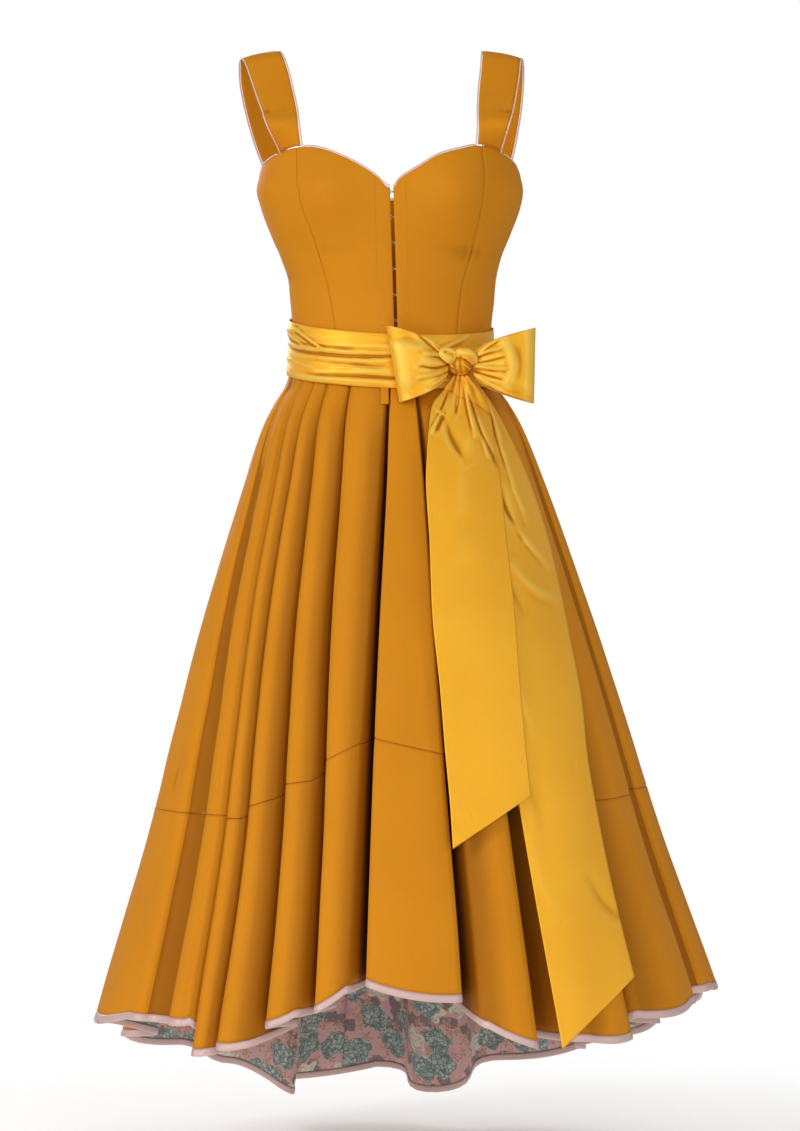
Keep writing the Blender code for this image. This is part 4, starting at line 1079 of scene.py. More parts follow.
CRESTS = table(
    "seam_start seam_end hem_start hem_end",
    (-964, -964, -1217, -1215), (-967, -967, -1250, -1249), (-951, -943, -1240, -1237),
    (-923, -919, -1212, -1198), (-893, -874, -1192, -1169), (-867, -886, -1160, -1178),
    (-897, -915, -1210, -1234), (-950, -953, -1230, -1231), (-947, -944, -1208, -1201),
    (-938, -938, -1193, -1190), (-946, -952, -1212, -1234), (-970, -982, -1268, -1294),
    (-1000, -1014, -1316, -1338), (-1026, -1032, -1350, -1364), (-1012, -1004, -1334, -1322),
    (-990, -978, -1302, -1277), (-968, -966, -1252, -1238), (-964, -964, -1228, -1218),
)
# across a fold with a steep side: the cloth rolls in gently from one side, and comes out straight behind
# the edge of the next crest
STEEP_FOLD = table(
    "step sideways depth",
    (-1.0, -1.3, 0.0), (-0.68, -1.02, 0.08), (-0.36, -0.77, 0.3),
    (-0.12, -0.6, 0.56), (0.12, -0.46, 0.85), (0.36, -0.28, 1.0),
    (0.68, -0.1, 0.5), (1.0, 0.0, 0.0),
)
FOLD_ROUNDNESS = 0.15
FOLD_GROWTH = 0.8
WAIST_TO_HEM_WIDTH = 0.33
BINDING_HEIGHT = 9.0
FINE_STEPS = 18                  # columns across a fold
CREST_STEP_DEGREES = 1.3
UPPER_ROWS, LOWER_ROWS = 84, 36

# %% [markdown]
# The CAD folds are even. Real ones are not, so a few more terms bend the fine skin: the crest between two
# folds bulges like a soft pipe, one side of each fold rolls over gently while the other has a crisp edge,
# the folds wander a little on their way down, and small dents and waist pleats come on top.

# %% What makes the folds uneven
CREST_BULGE = 5.5                # how far the middle of a wide crest stands out, at the hem
ROLL, ROLL_WIDTH = 5.0, 3.4      # how far, and over how many degrees, a crest rolls in to a fold
WANDER = 1.2                     # degrees by which a fold wanders
WIDE_CREST = 12.0                # degrees of width from which it bulges fully
DENT = 1.8
WIDE_DENTS, FINE_DENTS = (9, 210), (4.5, 80)     # degrees and mm from one to the next
PLEAT_DEPTH, PLEAT_FADE, PLEATS_ROUND = 1.1, 150.0, 24
HEM_SAG, SAGGING_CREST = 5.0, 15         # in mm, and the degrees of width from which it sags fully
FLOOR_STEP, ENTRY_STEP = 0.36, -0.36     # across a steep fold: its floor, and the end of its gentle entry


def fold_shape(fold, step):
    """One inward fold across: sideways share of its half mouth, and share of its depth."""
    if not fold.steep:
        return step + FOLD_ROUNDNESS * math.sin(2 * math.pi * step), (1 + math.cos(math.pi * step)) / 2
    turned = step * fold.steep
    return read(STEEP_FOLD, turned, "sideways") * fold.steep, read(STEEP_FOLD, turned, "depth")


def fold_edge(fold, step):
    """Degrees from the fold's line to its first or last edge: step is -1 or 1."""
    return fold.mouth * fold_shape(fold, step)[0]


def fold_angle(fold, fall):
    """A fold runs straight down the cloth, so in plan it is a straight line from waist to hem."""
    top, bottom = math.radians(fold.waist), math.radians(fold.hem)
    x = mix(WAIST_TO_HEM_WIDTH * math.sin(top), math.sin(bottom), fall)
    y = mix(WAIST_TO_HEM_WIDTH * math.cos(top), math.cos(bottom), fall)
    degrees = math.degrees(math.atan2(x, y))
    while degrees < fold.hem - 180:
        degrees += 360
    return degrees


def wandering(index, fall):
    """The fold's angle with its wander, which is nothing at the waist and at the hem."""
    wander = WANDER * rough(index * 3.7, fall * 2.3, 0.5) * math.sin(math.pi * fall)
    return fold_angle(FOLDS[index], fall) + wander


def crest_after(index):
    """The fold that follows, and the full turn to add where the round closes."""
    return (index + 1) % len(FOLDS), 360.0 if index == len(FOLDS) - 1 else 0.0


def make_stations():
    """Places round the skirt: (fold, step) inside a fold, or (fold, 1, share of the crest after it)."""
    places = []
    for index, fold in enumerate(FOLDS):
        places += [(index, step, None) for step in spread(-1.0, 1.0, FINE_STEPS)]
        following, turn = crest_after(index)
        arc = FOLDS[following].hem + turn + fold_edge(FOLDS[following], -1) - fold.hem - fold_edge(fold, 1)
        steps = max(4, math.ceil(arc / CREST_STEP_DEGREES))
        places += [(index, 1.0, k / steps) for k in range(1, steps)]
    return places


STATIONS = make_stations()
STATION_COUNT = len(STATIONS)


def tier_height(station, field):
    """Height of the seam or the hem at a station: level along a crest, and stepped inside a fold."""
    index, step, crest = station
    here, before = CRESTS[index], CRESTS[index - 1]
    if crest is not None:
        return mix(getattr(here, field + "_start"), getattr(here, field + "_end"), crest)
    height = mix(getattr(before, field + "_end"), getattr(here, field + "_start"), smooth((step + 1) / 2))
    return height - FOLDS[index].drop * fold_shape(FOLDS[index], step)[1]


def plain_station(station, fall, wander=False):
    """Angle, inward depth and place along the crest of a station when the cloth has fallen this far."""
    index, step, crest = station
    turn_of = wandering if wander else lambda k, f: fold_angle(FOLDS[k], f)
    fold = FOLDS[index]
    sideways, depth = fold_shape(fold, step)
    degrees = turn_of(index, fall) + fold.mouth * sideways
    if crest is not None:
        following, turn = crest_after(index)
        far = turn_of(following, fall) + turn + fold_edge(FOLDS[following], -1)
        degrees, depth = mix(degrees, far, crest), 0.0
    return degrees, depth * fold.depth * fall ** FOLD_GROWTH


def station_line(station):
    """Height of the waist, the seam and the hem at a station. The hem of a wide crest hangs in a curve."""
    index, _, crest = station
    sag = 0.0
    if crest is not None:
        sag = HEM_SAG * min(1.0, crest_width(index, 1.0) / SAGGING_CREST) * 4 * crest * (1 - crest)
    return (waist_z(plain_station(station, 0.0)[0]) - SEAM, tier_height(station, "seam"),
            tier_height(station, "hem") - sag)


def crest_width(index, fall):
    following, turn = crest_after(index)
    return (fold_angle(FOLDS[following], fall) + turn + fold_edge(FOLDS[following], -1)
            - fold_angle(FOLDS[index], fall) - fold_edge(FOLDS[index], 1))


def crest_rise(station, fall):
    """How far the cloth of a crest bulges, and how it rolls in towards the gentle side of a fold.

    The roll is carried on into the fold, and is lost by its floor.
    """
    index, step, crest = station
    fall = max(0.0, fall)
    if crest is None:
        turned = step * FOLDS[index].steep
        if not FOLDS[index].steep or turned >= FLOOR_STEP:
            return 0.0
        return -ROLL * fall ** 0.5 * (1 - read(STEEP_FOLD, turned, "depth"))
    following, _ = crest_after(index)
    width = max(crest_width(index, fall), 0.5)
    rise = CREST_BULGE * math.sin(math.pi * crest) * fall * min(1.0, width / WIDE_CREST)
    if FOLDS[following].steep == 1:
        rise -= ROLL * bump((1 - crest) * width, ROLL_WIDTH) * fall ** 0.5
    if FOLDS[index].steep == -1:
        rise -= ROLL * bump(crest * width, ROLL_WIDTH) * fall ** 0.5
    return rise


def pleats(degrees, below_waist):
    """Uneven shallow pleats under the waist seam, that fade on their way down."""
    fade = max(0.0, 1 - below_waist / PLEAT_FADE) ** 1.5
    if fade == 0.0:
        return 0.0
    turned = degrees + 9 * rough(degrees / 11, 0.3, 4.0)
    wave = 0.5 + 0.5 * math.sin(math.radians(turned * PLEATS_ROUND))
    size = 0.6 + 0.8 * rough(degrees / 15, 2.5, 8.0)
    return PLEAT_DEPTH * fade * (wave ** 2 - 0.4) * size * smooth(below_waist / 14)


def skirt_point(station, line, z):
    """A point of the skirt's outer face at a station and a height."""
    waist, _, hem = line
    fall = clamp((waist - z) / (waist - hem))
    degrees, depth = plain_station(station, fall, wander=True)
    point = ring_point(degrees, z)
    outward = Vector((point.x - ring_at(z)[1], point.y, 0)).normalized()
    rise = crest_rise(station, fall)
    dents = rough(degrees / WIDE_DENTS[0], z / WIDE_DENTS[1], 3.1)
    dents += 0.5 * rough(degrees / FINE_DENTS[0], z / FINE_DENTS[1], 7.7)
    rise += DENT * dents * smooth(fall * 5) + pleats(degrees, waist - z)
    return point + outward * (rise - depth)


# %% The skirt's fine grid, from the waist to the hem


def level(direction):
    """The horizontal part of a direction, so that all layers of a row end at one height."""
    return Vector((direction.x, direction.y, 0)).normalized()


LINES = [station_line(station) for station in STATIONS]
# rows stand closer together under the waist seam, where the pleats are
UPPER_SHARES = [share * (0.45 + 0.55 * share) for share in spread(0, 1, UPPER_ROWS)]
LOWER_SHARES = spread(0, 1, LOWER_ROWS)
# and on both sides of the tiers' seam, which is a groove of a few millimetres
UPPER_SHARES[-1:] = [0.9935, 0.9972, 1.0]
LOWER_SHARES[1:1] = [0.0055, 0.0125]
SKIRT_ROWS = [[skirt_point(s, l, mix(l[0], l[1], share)) for s, l in zip(STATIONS, LINES)]
              for share in UPPER_SHARES]
SKIRT_ROWS += [[skirt_point(s, l, mix(l[1], l[2] + BINDING_HEIGHT, share)) for s, l in zip(STATIONS, LINES)]
               for share in LOWER_SHARES[1:]]
SKIRT_ROWS += [[skirt_point(s, l, l[2]) for s, l in zip(STATIONS, LINES)]]
SEAM_ROW, HEM_ROW = len(UPPER_SHARES) - 1, len(SKIRT_ROWS) - 1


def outward(j, i):
    """The level outward direction at a crossing, halfway between the steps of its row on either side."""
    row = SKIRT_ROWS[j]
    upwards = SKIRT_ROWS[max(j - 1, 0)][i] - SKIRT_ROWS[min(j + 1, HEM_ROW)][i]
    steps = (row[(i + 1) % STATION_COUNT] - row[i], row[i] - row[i - 1])
    after, before = ((step - upwards * (step.z / upwards.z)).normalized() for step in steps)
    return level((after + before).cross(upwards))


SKIRT_NORMALS = [[outward(j, i) for i in range(STATION_COUNT)] for j in range(HEM_ROW + 1)]
print(STATION_COUNT, "columns and", len(SKIRT_ROWS), "rows round the skirt")

# %% [markdown]
# The tiers are cut in four panels each, with seams at the sides, behind, and in front on the floor of the
# deepest fold, where the opening of the bodice runs on. Each panel is a stretch of the one grid. The lining
# is the same stretch moved inwards, and the satin binding closes both round the hem.

# %% Panels of both tiers
RIGHT_SEAM, BACK_SEAM, LEFT_SEAM = 84.0, 192.0, 262.0
FRONT_SEAM = (5, 1 / 3)
LINING_WALL = 1.0
LINING_INSET = TWILL_WALL + 0.4
SEAM_DIP, SEAM_DIP_HEIGHT = 0.8, 1.5         # the groove along the seam between the tiers
SEAM_PUCKER, SEAM_PUCKER_AWAY, SEAM_PUCKER_WIDTH = 0.3, 5, 6
# at this depth in a fold hardly any light arrives, at the waist and at the hem
FOLD_SHADE_WAIST, FOLD_SHADE_DEPTH = 5.0, 46.0
# a fold at least this deep, with a mouth no wider than this, is fully dark; one under OPEN_DEPTH isn't
CLOSED_DEPTH, CLOSED_MOUTH, OPEN_DEPTH = 80, 5.5, 30
CREST_SHADE = 0.5                            # where a crest turns away from the light before a fold


def nearest_crest(degrees):
    """The station between two folds that lies nearest to this angle."""
    def away(i):
        return abs((plain_station(STATIONS[i], 1.0)[0] - degrees + 180) % 360 - 180)
    return min((i for i in range(STATION_COUNT) if STATIONS[i][2] is not None), key=away)


SEAMS_AT = {"left": nearest_crest(LEFT_SEAM), "right": nearest_crest(RIGHT_SEAM),
            "back": nearest_crest(BACK_SEAM),
            "front": next(i for i, s in enumerate(STATIONS)
                          if s[0] == FRONT_SEAM[0] and abs(s[1] - FRONT_SEAM[1]) < 0.01)}


def columns_between(start, stop):
    first, last = SEAMS_AT[start], SEAMS_AT[stop]
    return list(range(first, last + 1 + (STATION_COUNT if last < first else 0)))


def beside_seam(wanted, i, row):
    """Half a seam's gap inwards at the first and last column of a panel, and nothing between them."""
    if 0 < i < len(wanted) - 1:
        return Vector()
    inner = wanted[1] if i == 0 else wanted[-2]
    edge = SKIRT_ROWS[row][wanted[i] % STATION_COUNT]
    return (SKIRT_ROWS[row][inner % STATION_COUNT] - edge).normalized() * SEAM / 2


def darkness(column, row):
    """How little light reaches a crossing: in a closed fold, and where a crest turns in to one."""
    index, step, crest = STATIONS[column]
    waist, _, hem = LINES[column]
    fall = clamp((waist - SKIRT_ROWS[row][column].z) / (waist - hem))
    _, depth = plain_station(STATIONS[column], fall)
    fold = FOLDS[index]
    closed = min(1.0, fold.depth / CLOSED_DEPTH) * min(1.0, CLOSED_MOUTH / fold.mouth)
    closed *= fold.depth > OPEN_DEPTH
    dark = smooth(depth / mix(FOLD_SHADE_WAIST, FOLD_SHADE_DEPTH, fall ** 0.6)) * closed
    if crest is not None:
        following, _ = crest_after(index)
        turned_away = CREST_SHADE * smooth(fall * 6) * min(1.0, crest_width(index, fall) / 5)
        if FOLDS[following].steep == 1:
            dark += turned_away * smooth((crest - 0.4) / 0.6)
        if fold.steep == -1:
            dark += turned_away * smooth((0.6 - crest) / 0.6)
    elif step * fold.steep < ENTRY_STEP:
        dark = max(dark, CREST_SHADE * smooth(fall * 6) * closed)
    return min(1.0, dark)


def tier_piece(node_name, layer, start, stop):
    """A panel of one layer of a tier; at its seam rows it turns in to a level seam."""
    wanted = columns_between(start, stop)

    def place(i, j):
        row, column = layer.first + j, wanted[i] % STATION_COUNT
        normal = SKIRT_NORMALS[row][column]
        point = SKIRT_ROWS[row][column] + normal * layer.lift
        turns = wanted[i] * 1.9 + 2 * rough(wanted[i] / 9, 1, 1)
        for seam_row in layer.seam_rows:
            away = abs(point.z - SKIRT_ROWS[seam_row][column].z)
            dip = SEAM_DIP * bump(away, SEAM_DIP_HEIGHT)
            dip += SEAM_PUCKER * math.sin(turns) * bump(away - SEAM_PUCKER_AWAY, SEAM_PUCKER_WIDTH)
            point = point - normal * dip
        point += beside_seam(wanted, i, row)
        if j == 0 and layer.first:
            point.z -= SEAM
        return point

    cloth(node_name, layer.finish, place, len(wanted) - 1, layer.last - layer.first, layer.wall,
          shade=lambda i, j: darkness(wanted[i] % STATION_COUNT, layer.first + j))


QUARTERS = {"front_left": ("left", "front"), "front_right": ("front", "right"),
            "back_right": ("right", "back"), "back_left": ("back", "left")}
LAYERS = table(
    "kind finish first last lift wall seam_rows",
    ("skirt", TWILL, 0, SEAM_ROW, 0.0, TWILL_WALL, (0, SEAM_ROW)),
    ("flounce", TWILL, SEAM_ROW, HEM_ROW - 1, 0.0, TWILL_WALL, (SEAM_ROW,)),
    ("lining", LINING_CLOTH, SEAM_ROW, HEM_ROW - 1, -LINING_INSET, LINING_WALL, ()),
)
for quarter, ends in QUARTERS.items():
    for layer in LAYERS:
        tier_piece(f"{layer.kind}_{quarter}", layer, *ends)

# %% Hem binding
BINDING_WALL = 0.3
RUFFLE, RUFFLE_OUT = 0.35, 0.2
BINDING_TURNS = [                            # round the hem: share of its height, and share of its depth
    (1.0, 0.0), (1.02, -0.12), (0.7, -0.22), (0.35, -0.24), (0.10, -0.14), (0.0, 0.08), (-0.05, 0.35),
    (-0.05, 0.65), (0.0, 0.92), (0.10, 1.14), (0.35, 1.24), (0.7, 1.22), (1.02, 1.12), (1.0, 1.0)]
HEM_DEPTH = LINING_INSET + LINING_WALL


def make_binding(half, start, stop):
    wanted = columns_between(start, stop)

    def place(i, j):
        column = wanted[i] % STATION_COUNT
        rise, depth = BINDING_TURNS[j]
        low, high = SKIRT_ROWS[HEM_ROW][column], SKIRT_ROWS[HEM_ROW - 1][column]
        normal = SKIRT_NORMALS[HEM_ROW][column].lerp(SKIRT_NORMALS[HEM_ROW - 1][column], max(0.0, rise))
        ruffle = RUFFLE * math.sin(wanted[i] * 0.9 + 3 * rough(wanted[i] / 7, 2, 2))
        outside = 1.0 if depth < 0.5 else -1.0
        spot = low.lerp(high, rise) - normal * depth * HEM_DEPTH
        spot += normal * outside * RUFFLE_OUT * ruffle * smooth(rise)
        return spot + beside_seam(wanted, i, HEM_ROW)

    cloth(f"binding_{half}", BINDING_PINK, place, len(wanted) - 1, len(BINDING_TURNS) - 1, BINDING_WALL)


make_binding("front", "left", "right")
make_binding("back", "right", "left")

# %% [markdown]
# ## The sash, its bow and its tails
#
# The sash is one long satin ribbon: round the waist, through a knot, out into two loops and down in two
# tails. Satin shows each crease as a bright and a dark streak, so the creases are what makes it look like
# satin; its material adds a painted shade in their hollows and a painted highlight on their ridges. They
# are placed from tables. Each row is a line on the flat ribbon in millimetres, with a
# width, a height and a crispness: below 1, the cloth falls away more steeply on one side than on the other,
# as it does where a fold lies over the cloth beside it.

# %% Creases from a table
def creases(*rows):
    return table("u0 v0 u1 v1 width lift bend crisp", *rows)


def creased(creases, u, v):
    """How far the cloth stands out at a flat spot, from a list of creases."""
    total = 0.0
    for c in creases:
        du, dv = c.u1 - c.u0, c.v1 - c.v0
        length = math.hypot(du, dv)
        t = ((u - c.u0) * du + (v - c.v0) * dv) / length ** 2
        if not -0.2 < t < 1.2:
            continue
        away = ((u - c.u0) * dv - (v - c.v0) * du) / length
        away -= c.bend * math.sin(math.pi * clamp(t))
        width = c.width if away < 0 else c.width * c.crisp
        if abs(away) < 3 * width:
            total += c.lift * math.sin(math.pi * (t + 0.2) / 1.4) ** 0.7 * bump(away, width)
    return total


# %% The band round the waist
SASH_Z, SASH_DIP, SASH_TILT, SASH_HEIGHT = -383.0, 18.0, 5.5, 70.0
SASH_CLEARANCE = 2.4
SASH_WAVER = 0.35
KNOT_ANGLE = 36.0
SATIN_WALL = 0.8
MM_PER_DEGREE = 2.2
SASH_RIDGES = table("share lift", (0.0, 0.0), (0.12, 1.6), (0.27, 2.3), (0.36, 0.5), (0.45, 1.0),
                    (0.6, 3.1), (0.75, 3.0), (0.9, 2.2), (1.0, 0.0))
# u is degrees times MM_PER_DEGREE from the front, v is mm below the band's top edge
SASH_CREASES = creases(
    (-190, 27, 52, 21, 4.2, 2.6, -1.0, 0.12), (-150, 33, -60, 32, 2.2, -1.8, -1.0, 0.6),
    (-80, 36, 6, 31, 4.2, 2.2, -1.5, 0.2), (-120, 41, -24, 41, 2.0, -1.6, 1.0, 0.8),
    (-66, 47, 8, 45, 2.2, 1.9, -1.6, 0.3), (-50, 53, 2, 50, 1.6, 1.4, 0.8, 0.4),
    (-96, 60, 10, 56, 2.6, -2.0, 1.6, 0.5), (-120, 65, 10, 62, 2.6, 1.6, 0.5, 0.4),
    (-160, 4, -92, 25, 2.6, 2.0, 1.5, 0.3), (-150, 10, -104, 24, 1.6, -1.6, 1.0, 0.8),
    (-170, 16, -120, 27, 2.0, 1.6, 0.5, 0.4), (96, 20, 214, 25, 3.2, 1.7, 1.0, 0.3),
    (110, 42, 230, 38, 3.6, 1.5, -1.5, 0.4), (120, 56, 200, 60, 3.0, -1.4, 1.0, 0.8),
    (232, 14, 330, 20, 3.4, 1.6, 1.2, 0.3), (250, 34, 400, 31, 3.2, 1.7, 1.0, 0.3),
    (262, 50, 380, 54, 3.0, -1.5, -1.0, 0.8), (400, 12, 520, 17, 3.2, 1.5, 1.0, 0.35),
    (430, 40, 560, 37, 3.4, 1.6, -1.5, 0.3), (455, 58, 575, 55, 2.6, 1.4, 1.0, 0.5),
    (-230, 14, -150, 8, 3.0, 1.6, 1.0, 0.4), (-236, 44, -120, 49, 3.2, 1.5, 1.5, 0.35),
    (90, 66, 40, 50, 3.0, 1.5, 1.0, 0.5), (96, 46, 46, 40, 2.6, 1.4, -1.0, 0.5),
    (100, 6, 44, 24, 3.0, 1.6, 1.0, 0.4),
)
SASH_COLUMNS, SASH_ROWS = 360, 44
SASH_TURN = 360 * MM_PER_DEGREE


def sash_point(degrees, share):
    """A point of the form under the sash; share runs from 0 at its top edge to 1 at its bottom."""
    angle = math.radians(degrees)
    middle = SASH_Z - SASH_DIP * math.cos(angle) - SASH_TILT * math.sin(angle)
    return ring_point(degrees, middle + SASH_HEIGHT * (0.5 - share))


def sash_place(i, j):
    degrees = mix(KNOT_ANGLE - 360.0, KNOT_ANGLE, i / SASH_COLUMNS)
    share = j / SASH_ROWS
    normal = facing(lambda a, b: sash_point(a, -b), degrees, -share, 0.5, 0.02)
    waver = 1.0 + SASH_WAVER * math.sin(math.radians(degrees * 3) + share * 5)
    u, v = degrees * MM_PER_DEGREE, share * SASH_HEIGHT
    lift = SATIN_WALL + read(SASH_RIDGES, share, "lift") * waver
    lift += sum(creased(SASH_CREASES, u + turn, v) for turn in (0.0, SASH_TURN))
    turn = math.radians(degrees)
    lift += 0.5 * rough(5 * math.sin(turn), 5 * math.cos(turn), v / 7) * smooth(
        min(share, 1 - share) * 8)
    return sash_point(degrees, share) + normal * (SASH_CLEARANCE + max(lift, SATIN_WALL))


cloth("sash_band", SATIN, sash_place, SASH_COLUMNS, SASH_ROWS, SATIN_WALL, "gathered", closed=True)

# %% The tab beside the opening
TAB_X, TAB_WIDTH = -7.5, 10.0
TAB_TOP, TAB_BOTTOM, TAB_WALL = -356.0, -456.0, 0.8
TAB_LIFT_FROM, TAB_LIFT_BELOW = -396.0, 0.9
TAB_COLUMNS, TAB_ROWS = 8, 60


def tab_place(i, j):
    z = mix(TAB_TOP, TAB_BOTTOM, j / TAB_ROWS)
    angle = angle_at(TAB_X + TAB_WIDTH * (i / TAB_COLUMNS - 0.5), z)
    lift = SEAM + TAB_LIFT_BELOW * clamp((TAB_LIFT_FROM - z) / TAB_WIDTH) + TAB_WALL
    return lifted(ring_point, angle, z, lift)


cloth("front_tab", TWILL, tab_place, TAB_COLUMNS, TAB_ROWS, TAB_WALL)

# %% [markdown]
# The bow is built round the knot's middle, on two directions: along the waist, and towards the viewer. Each
# loop is a ribbon that leaves the knot, opens, turns round at its far end and comes back behind itself.
# A table gives that way. The loop's own creases then fan out from the knot.

# %% The bow's two loops
KNOT_DROP, KNOT_BACK, KNOT_CLEARANCE, CAD_SATIN = -6.0, 17.0, 2.4, 1.2
BOW_TURN, BOW_TILT = 12.0, 6.0
LOOP_ROOT, LOOP_ROOT_HALF = 15.5, 9.0
Loop = namedtuple("Loop", "side top_reach bottom_reach half_height")
LOOPS = {"left": Loop(-1, 93.0, 79.0, 48.0), "right": Loop(1, 99.0, 94.0, 48.0)}
LOOP_WAY = table(
    "turn reach stand",
    (0.0, 0.0, 3.5), (0.1, 0.2, 13.0), (0.2, 0.5, 20.0), (0.3, 0.8, 18.0), (0.4, 0.97, 9.0),
    (0.5, 1.0, 2.0), (0.6, 0.97, -3.0), (0.7, 0.8, -4.0), (0.8, 0.45, -4.5), (0.9, 0.2, -4.0),
    (1.0, 0.0, -3.0),
)
LOOP_OPENING_POWER = 0.5
# u is mm from the knot, v is mm above the loop's middle
LOOP_CREASES = {
    "left": creases(
        (2, 5, 34, 12, 4.0, 4.6, -2.0, 0.35), (4, 0, 40, -4, 2.0, -3.4, 3.0, 0.8),
        (2, -5, 42, -17, 3.4, 3.6, 2.0, 0.35), (14, 14, 92, 34, 15.0, -5.0, -8.0, 0.5),
        (2, 8, 24, 22, 1.8, 2.6, 1.0, 0.5), (2, -9, 26, -26, 1.8, 2.4, 1.0, 0.5),
        (36, -26, 88, -44, 12.0, -3.0, 3.0, 0.8), (20, 18, 44, 36, 3.0, -2.0, 1.0, 0.8),
    ),
    "right": creases(
        (2, 6, 34, 19, 2.6, 3.6, -2.0, 0.4), (3, 2, 38, 8, 1.8, -2.8, 1.0, 0.8),
        (2, -2, 40, -6, 3.0, 3.6, 1.0, 0.35), (2, -6, 36, -18, 2.0, -3.2, 1.0, 0.8),
        (2, -9, 34, -30, 2.4, 2.6, 2.0, 0.4), (40, 28, 44, -24, 6.0, 2.6, -9.0, 0.4),
        (8, 12, 40, 34, 3.0, 2.2, -2.0, 0.5), (30, -26, 84, -42, 10.0, -3.0, 2.0, 0.8),
        (60, 40, 66, -36, 12.0, -1.2, -4.0, 0.9),
    ),
}
LOOP_CREASE_START = 4                    # mm from the knot at which a loop's own creases start
LOOP_GATHER, LOOP_BACK_WAVE = 1.4, 1.2
LOOP_COLUMNS, LOOP_ROWS = 84, 56


def bow_frame():
    """Centre of the knot, the bow's direction towards +X, and its direction towards the viewer."""
    base = sash_point(KNOT_ANGLE, 0.5)
    normal = facing(lambda a, b: sash_point(a, -b), KNOT_ANGLE, -0.5, 0.5, 0.02)
    proud = SASH_CLEARANCE + KNOT_CLEARANCE + CAD_SATIN + KNOT_BACK
    centre = base + normal * proud + Vector((0, 0, KNOT_DROP))
    turn = math.radians(BOW_TURN)
    return centre, Vector((math.cos(turn), math.sin(turn), 0)), Vector((math.sin(turn), -math.cos(turn), 0))


BOW_CENTRE, BOW_ALONG, BOW_AHEAD = bow_frame()


def make_loop(name, loop):
    def place(i, j):
        turn = i / LOOP_COLUMNS
        if loop.side < 0:
            turn = 1 - turn
        row = 1 - 2 * j / LOOP_ROWS
        reach, stand = read(LOOP_WAY, turn, "reach"), read(LOOP_WAY, turn, "stand")
        distance = mix(LOOP_ROOT, mix(loop.bottom_reach, loop.top_reach, (row + 1) / 2), reach)
        half = mix(LOOP_ROOT_HALF, loop.half_height, reach ** LOOP_OPENING_POWER)
        if turn < 0.5:
            fold = creased(LOOP_CREASES[name], distance - LOOP_ROOT + LOOP_CREASE_START, half * row)
            stand += fold * smooth((0.5 - turn) * 12)
            gather = math.sin(row * 9.0 + 1.3) * LOOP_GATHER * (1 - reach) ** 1.5
            stand += gather * smooth(reach * 10)
        else:
            stand += LOOP_BACK_WAVE * math.sin(row * 5 + reach * 3) * math.sin(math.pi * reach)
        stand -= BOW_TILT * row * reach
        return (BOW_CENTRE + BOW_ALONG * loop.side * distance + BOW_AHEAD * stand
                + Vector((0, 0, half * row)))

    cloth(f"bow_loop_{name}", SATIN, place, LOOP_COLUMNS, LOOP_ROWS, SATIN_WALL, "folded")


for name, loop in LOOPS.items():
    make_loop(name, loop)

# %% The knot
KNOT_SIZE = (15.4, 12.5, 13.5)
KNOT_COLUMNS, KNOT_ROWS, KNOT_WALL = 72, 44, 0.4
KNOT_POLE = 0.02                 # share of its height that stays open at the top and at the bottom
KNOT_SHRINK = 0.97               # so that its creases stay within the CAD knot's size
# lines over the knot's front, in mm from its middle
KNOT_CREASES = creases(
    (-5, 15, -1, -15, 1.8, -4.5, 3.5, 0.6), (-9, 9, -9, -4, 4.0, 2.4, 0.0, 0.9),
    (6, 5, 7, -9, 6.0, 3.0, -1.0, 0.9), (2, 10, 14, 1, 1.2, -2.4, -2.0, 0.8),
    (4, -1, 13, -6, 1.0, -1.2, 1.0, 0.8), (-13, 1, -7, -5, 1.2, -1.6, 1.0, 0.8),
)


def knot_place(i, j):
    around, up = 2 * math.pi * i / KNOT_COLUMNS, math.pi * mix(KNOT_POLE, 1 - KNOT_POLE, j / KNOT_ROWS)
    x, y, z = math.sin(around) * math.sin(up), math.cos(around) * math.sin(up), math.cos(up)
    ahead = -y
    depth = KNOT_SIZE[1] if ahead > 0 else KNOT_BACK
    point = BOW_ALONG * x * KNOT_SIZE[0] + BOW_AHEAD * ahead * depth + Vector((0, 0, z * KNOT_SIZE[2]))
    if ahead > 0:
        point += point.normalized() * creased(KNOT_CREASES, x * KNOT_SIZE[0], z * KNOT_SIZE[2]) * smooth(
            ahead * 3)
    return BOW_CENTRE + point * KNOT_SHRINK


cloth("bow_knot", SATIN, knot_place, KNOT_COLUMNS, KNOT_ROWS, KNOT_WALL, "folded")

# %% [markdown]
# Two bits of the ribbon show at the knot: a flap that lies over it from the upper left to the right, and
# a small loop beside it on the left. Each is a narrow strip along a few points, a little arched across.

# %% The flap and the small loop at the knot
BEND_COLUMNS = "at x z ahead width"
KNOT_STRIPS = {
    "flap": table(BEND_COLUMNS, (0.0, -7, 10, 8, 9), (0.3, -1, 14.5, 13, 12.5), (0.6, 8, 12.5, 15, 14),
                  (0.85, 15, 6, 11, 13), (1.0, 18, -1, 5, 9)),
    "curl": table(BEND_COLUMNS, (0.0, -9, 3, 9, 9), (0.25, -17, 7, 14, 12), (0.45, -24, 13, 13, 12),
                  (0.6, -22, 17, 10, 11.5), (0.8, -13, 14, 11, 11), (1.0, -5, 9, 9, 9)),
}
STRIP_COLUMNS, STRIP_ROWS, STRIP_WALL = 30, 10, 0.5
STRIP_ARCH, STRIP_TWIST = 1.6, 0.5


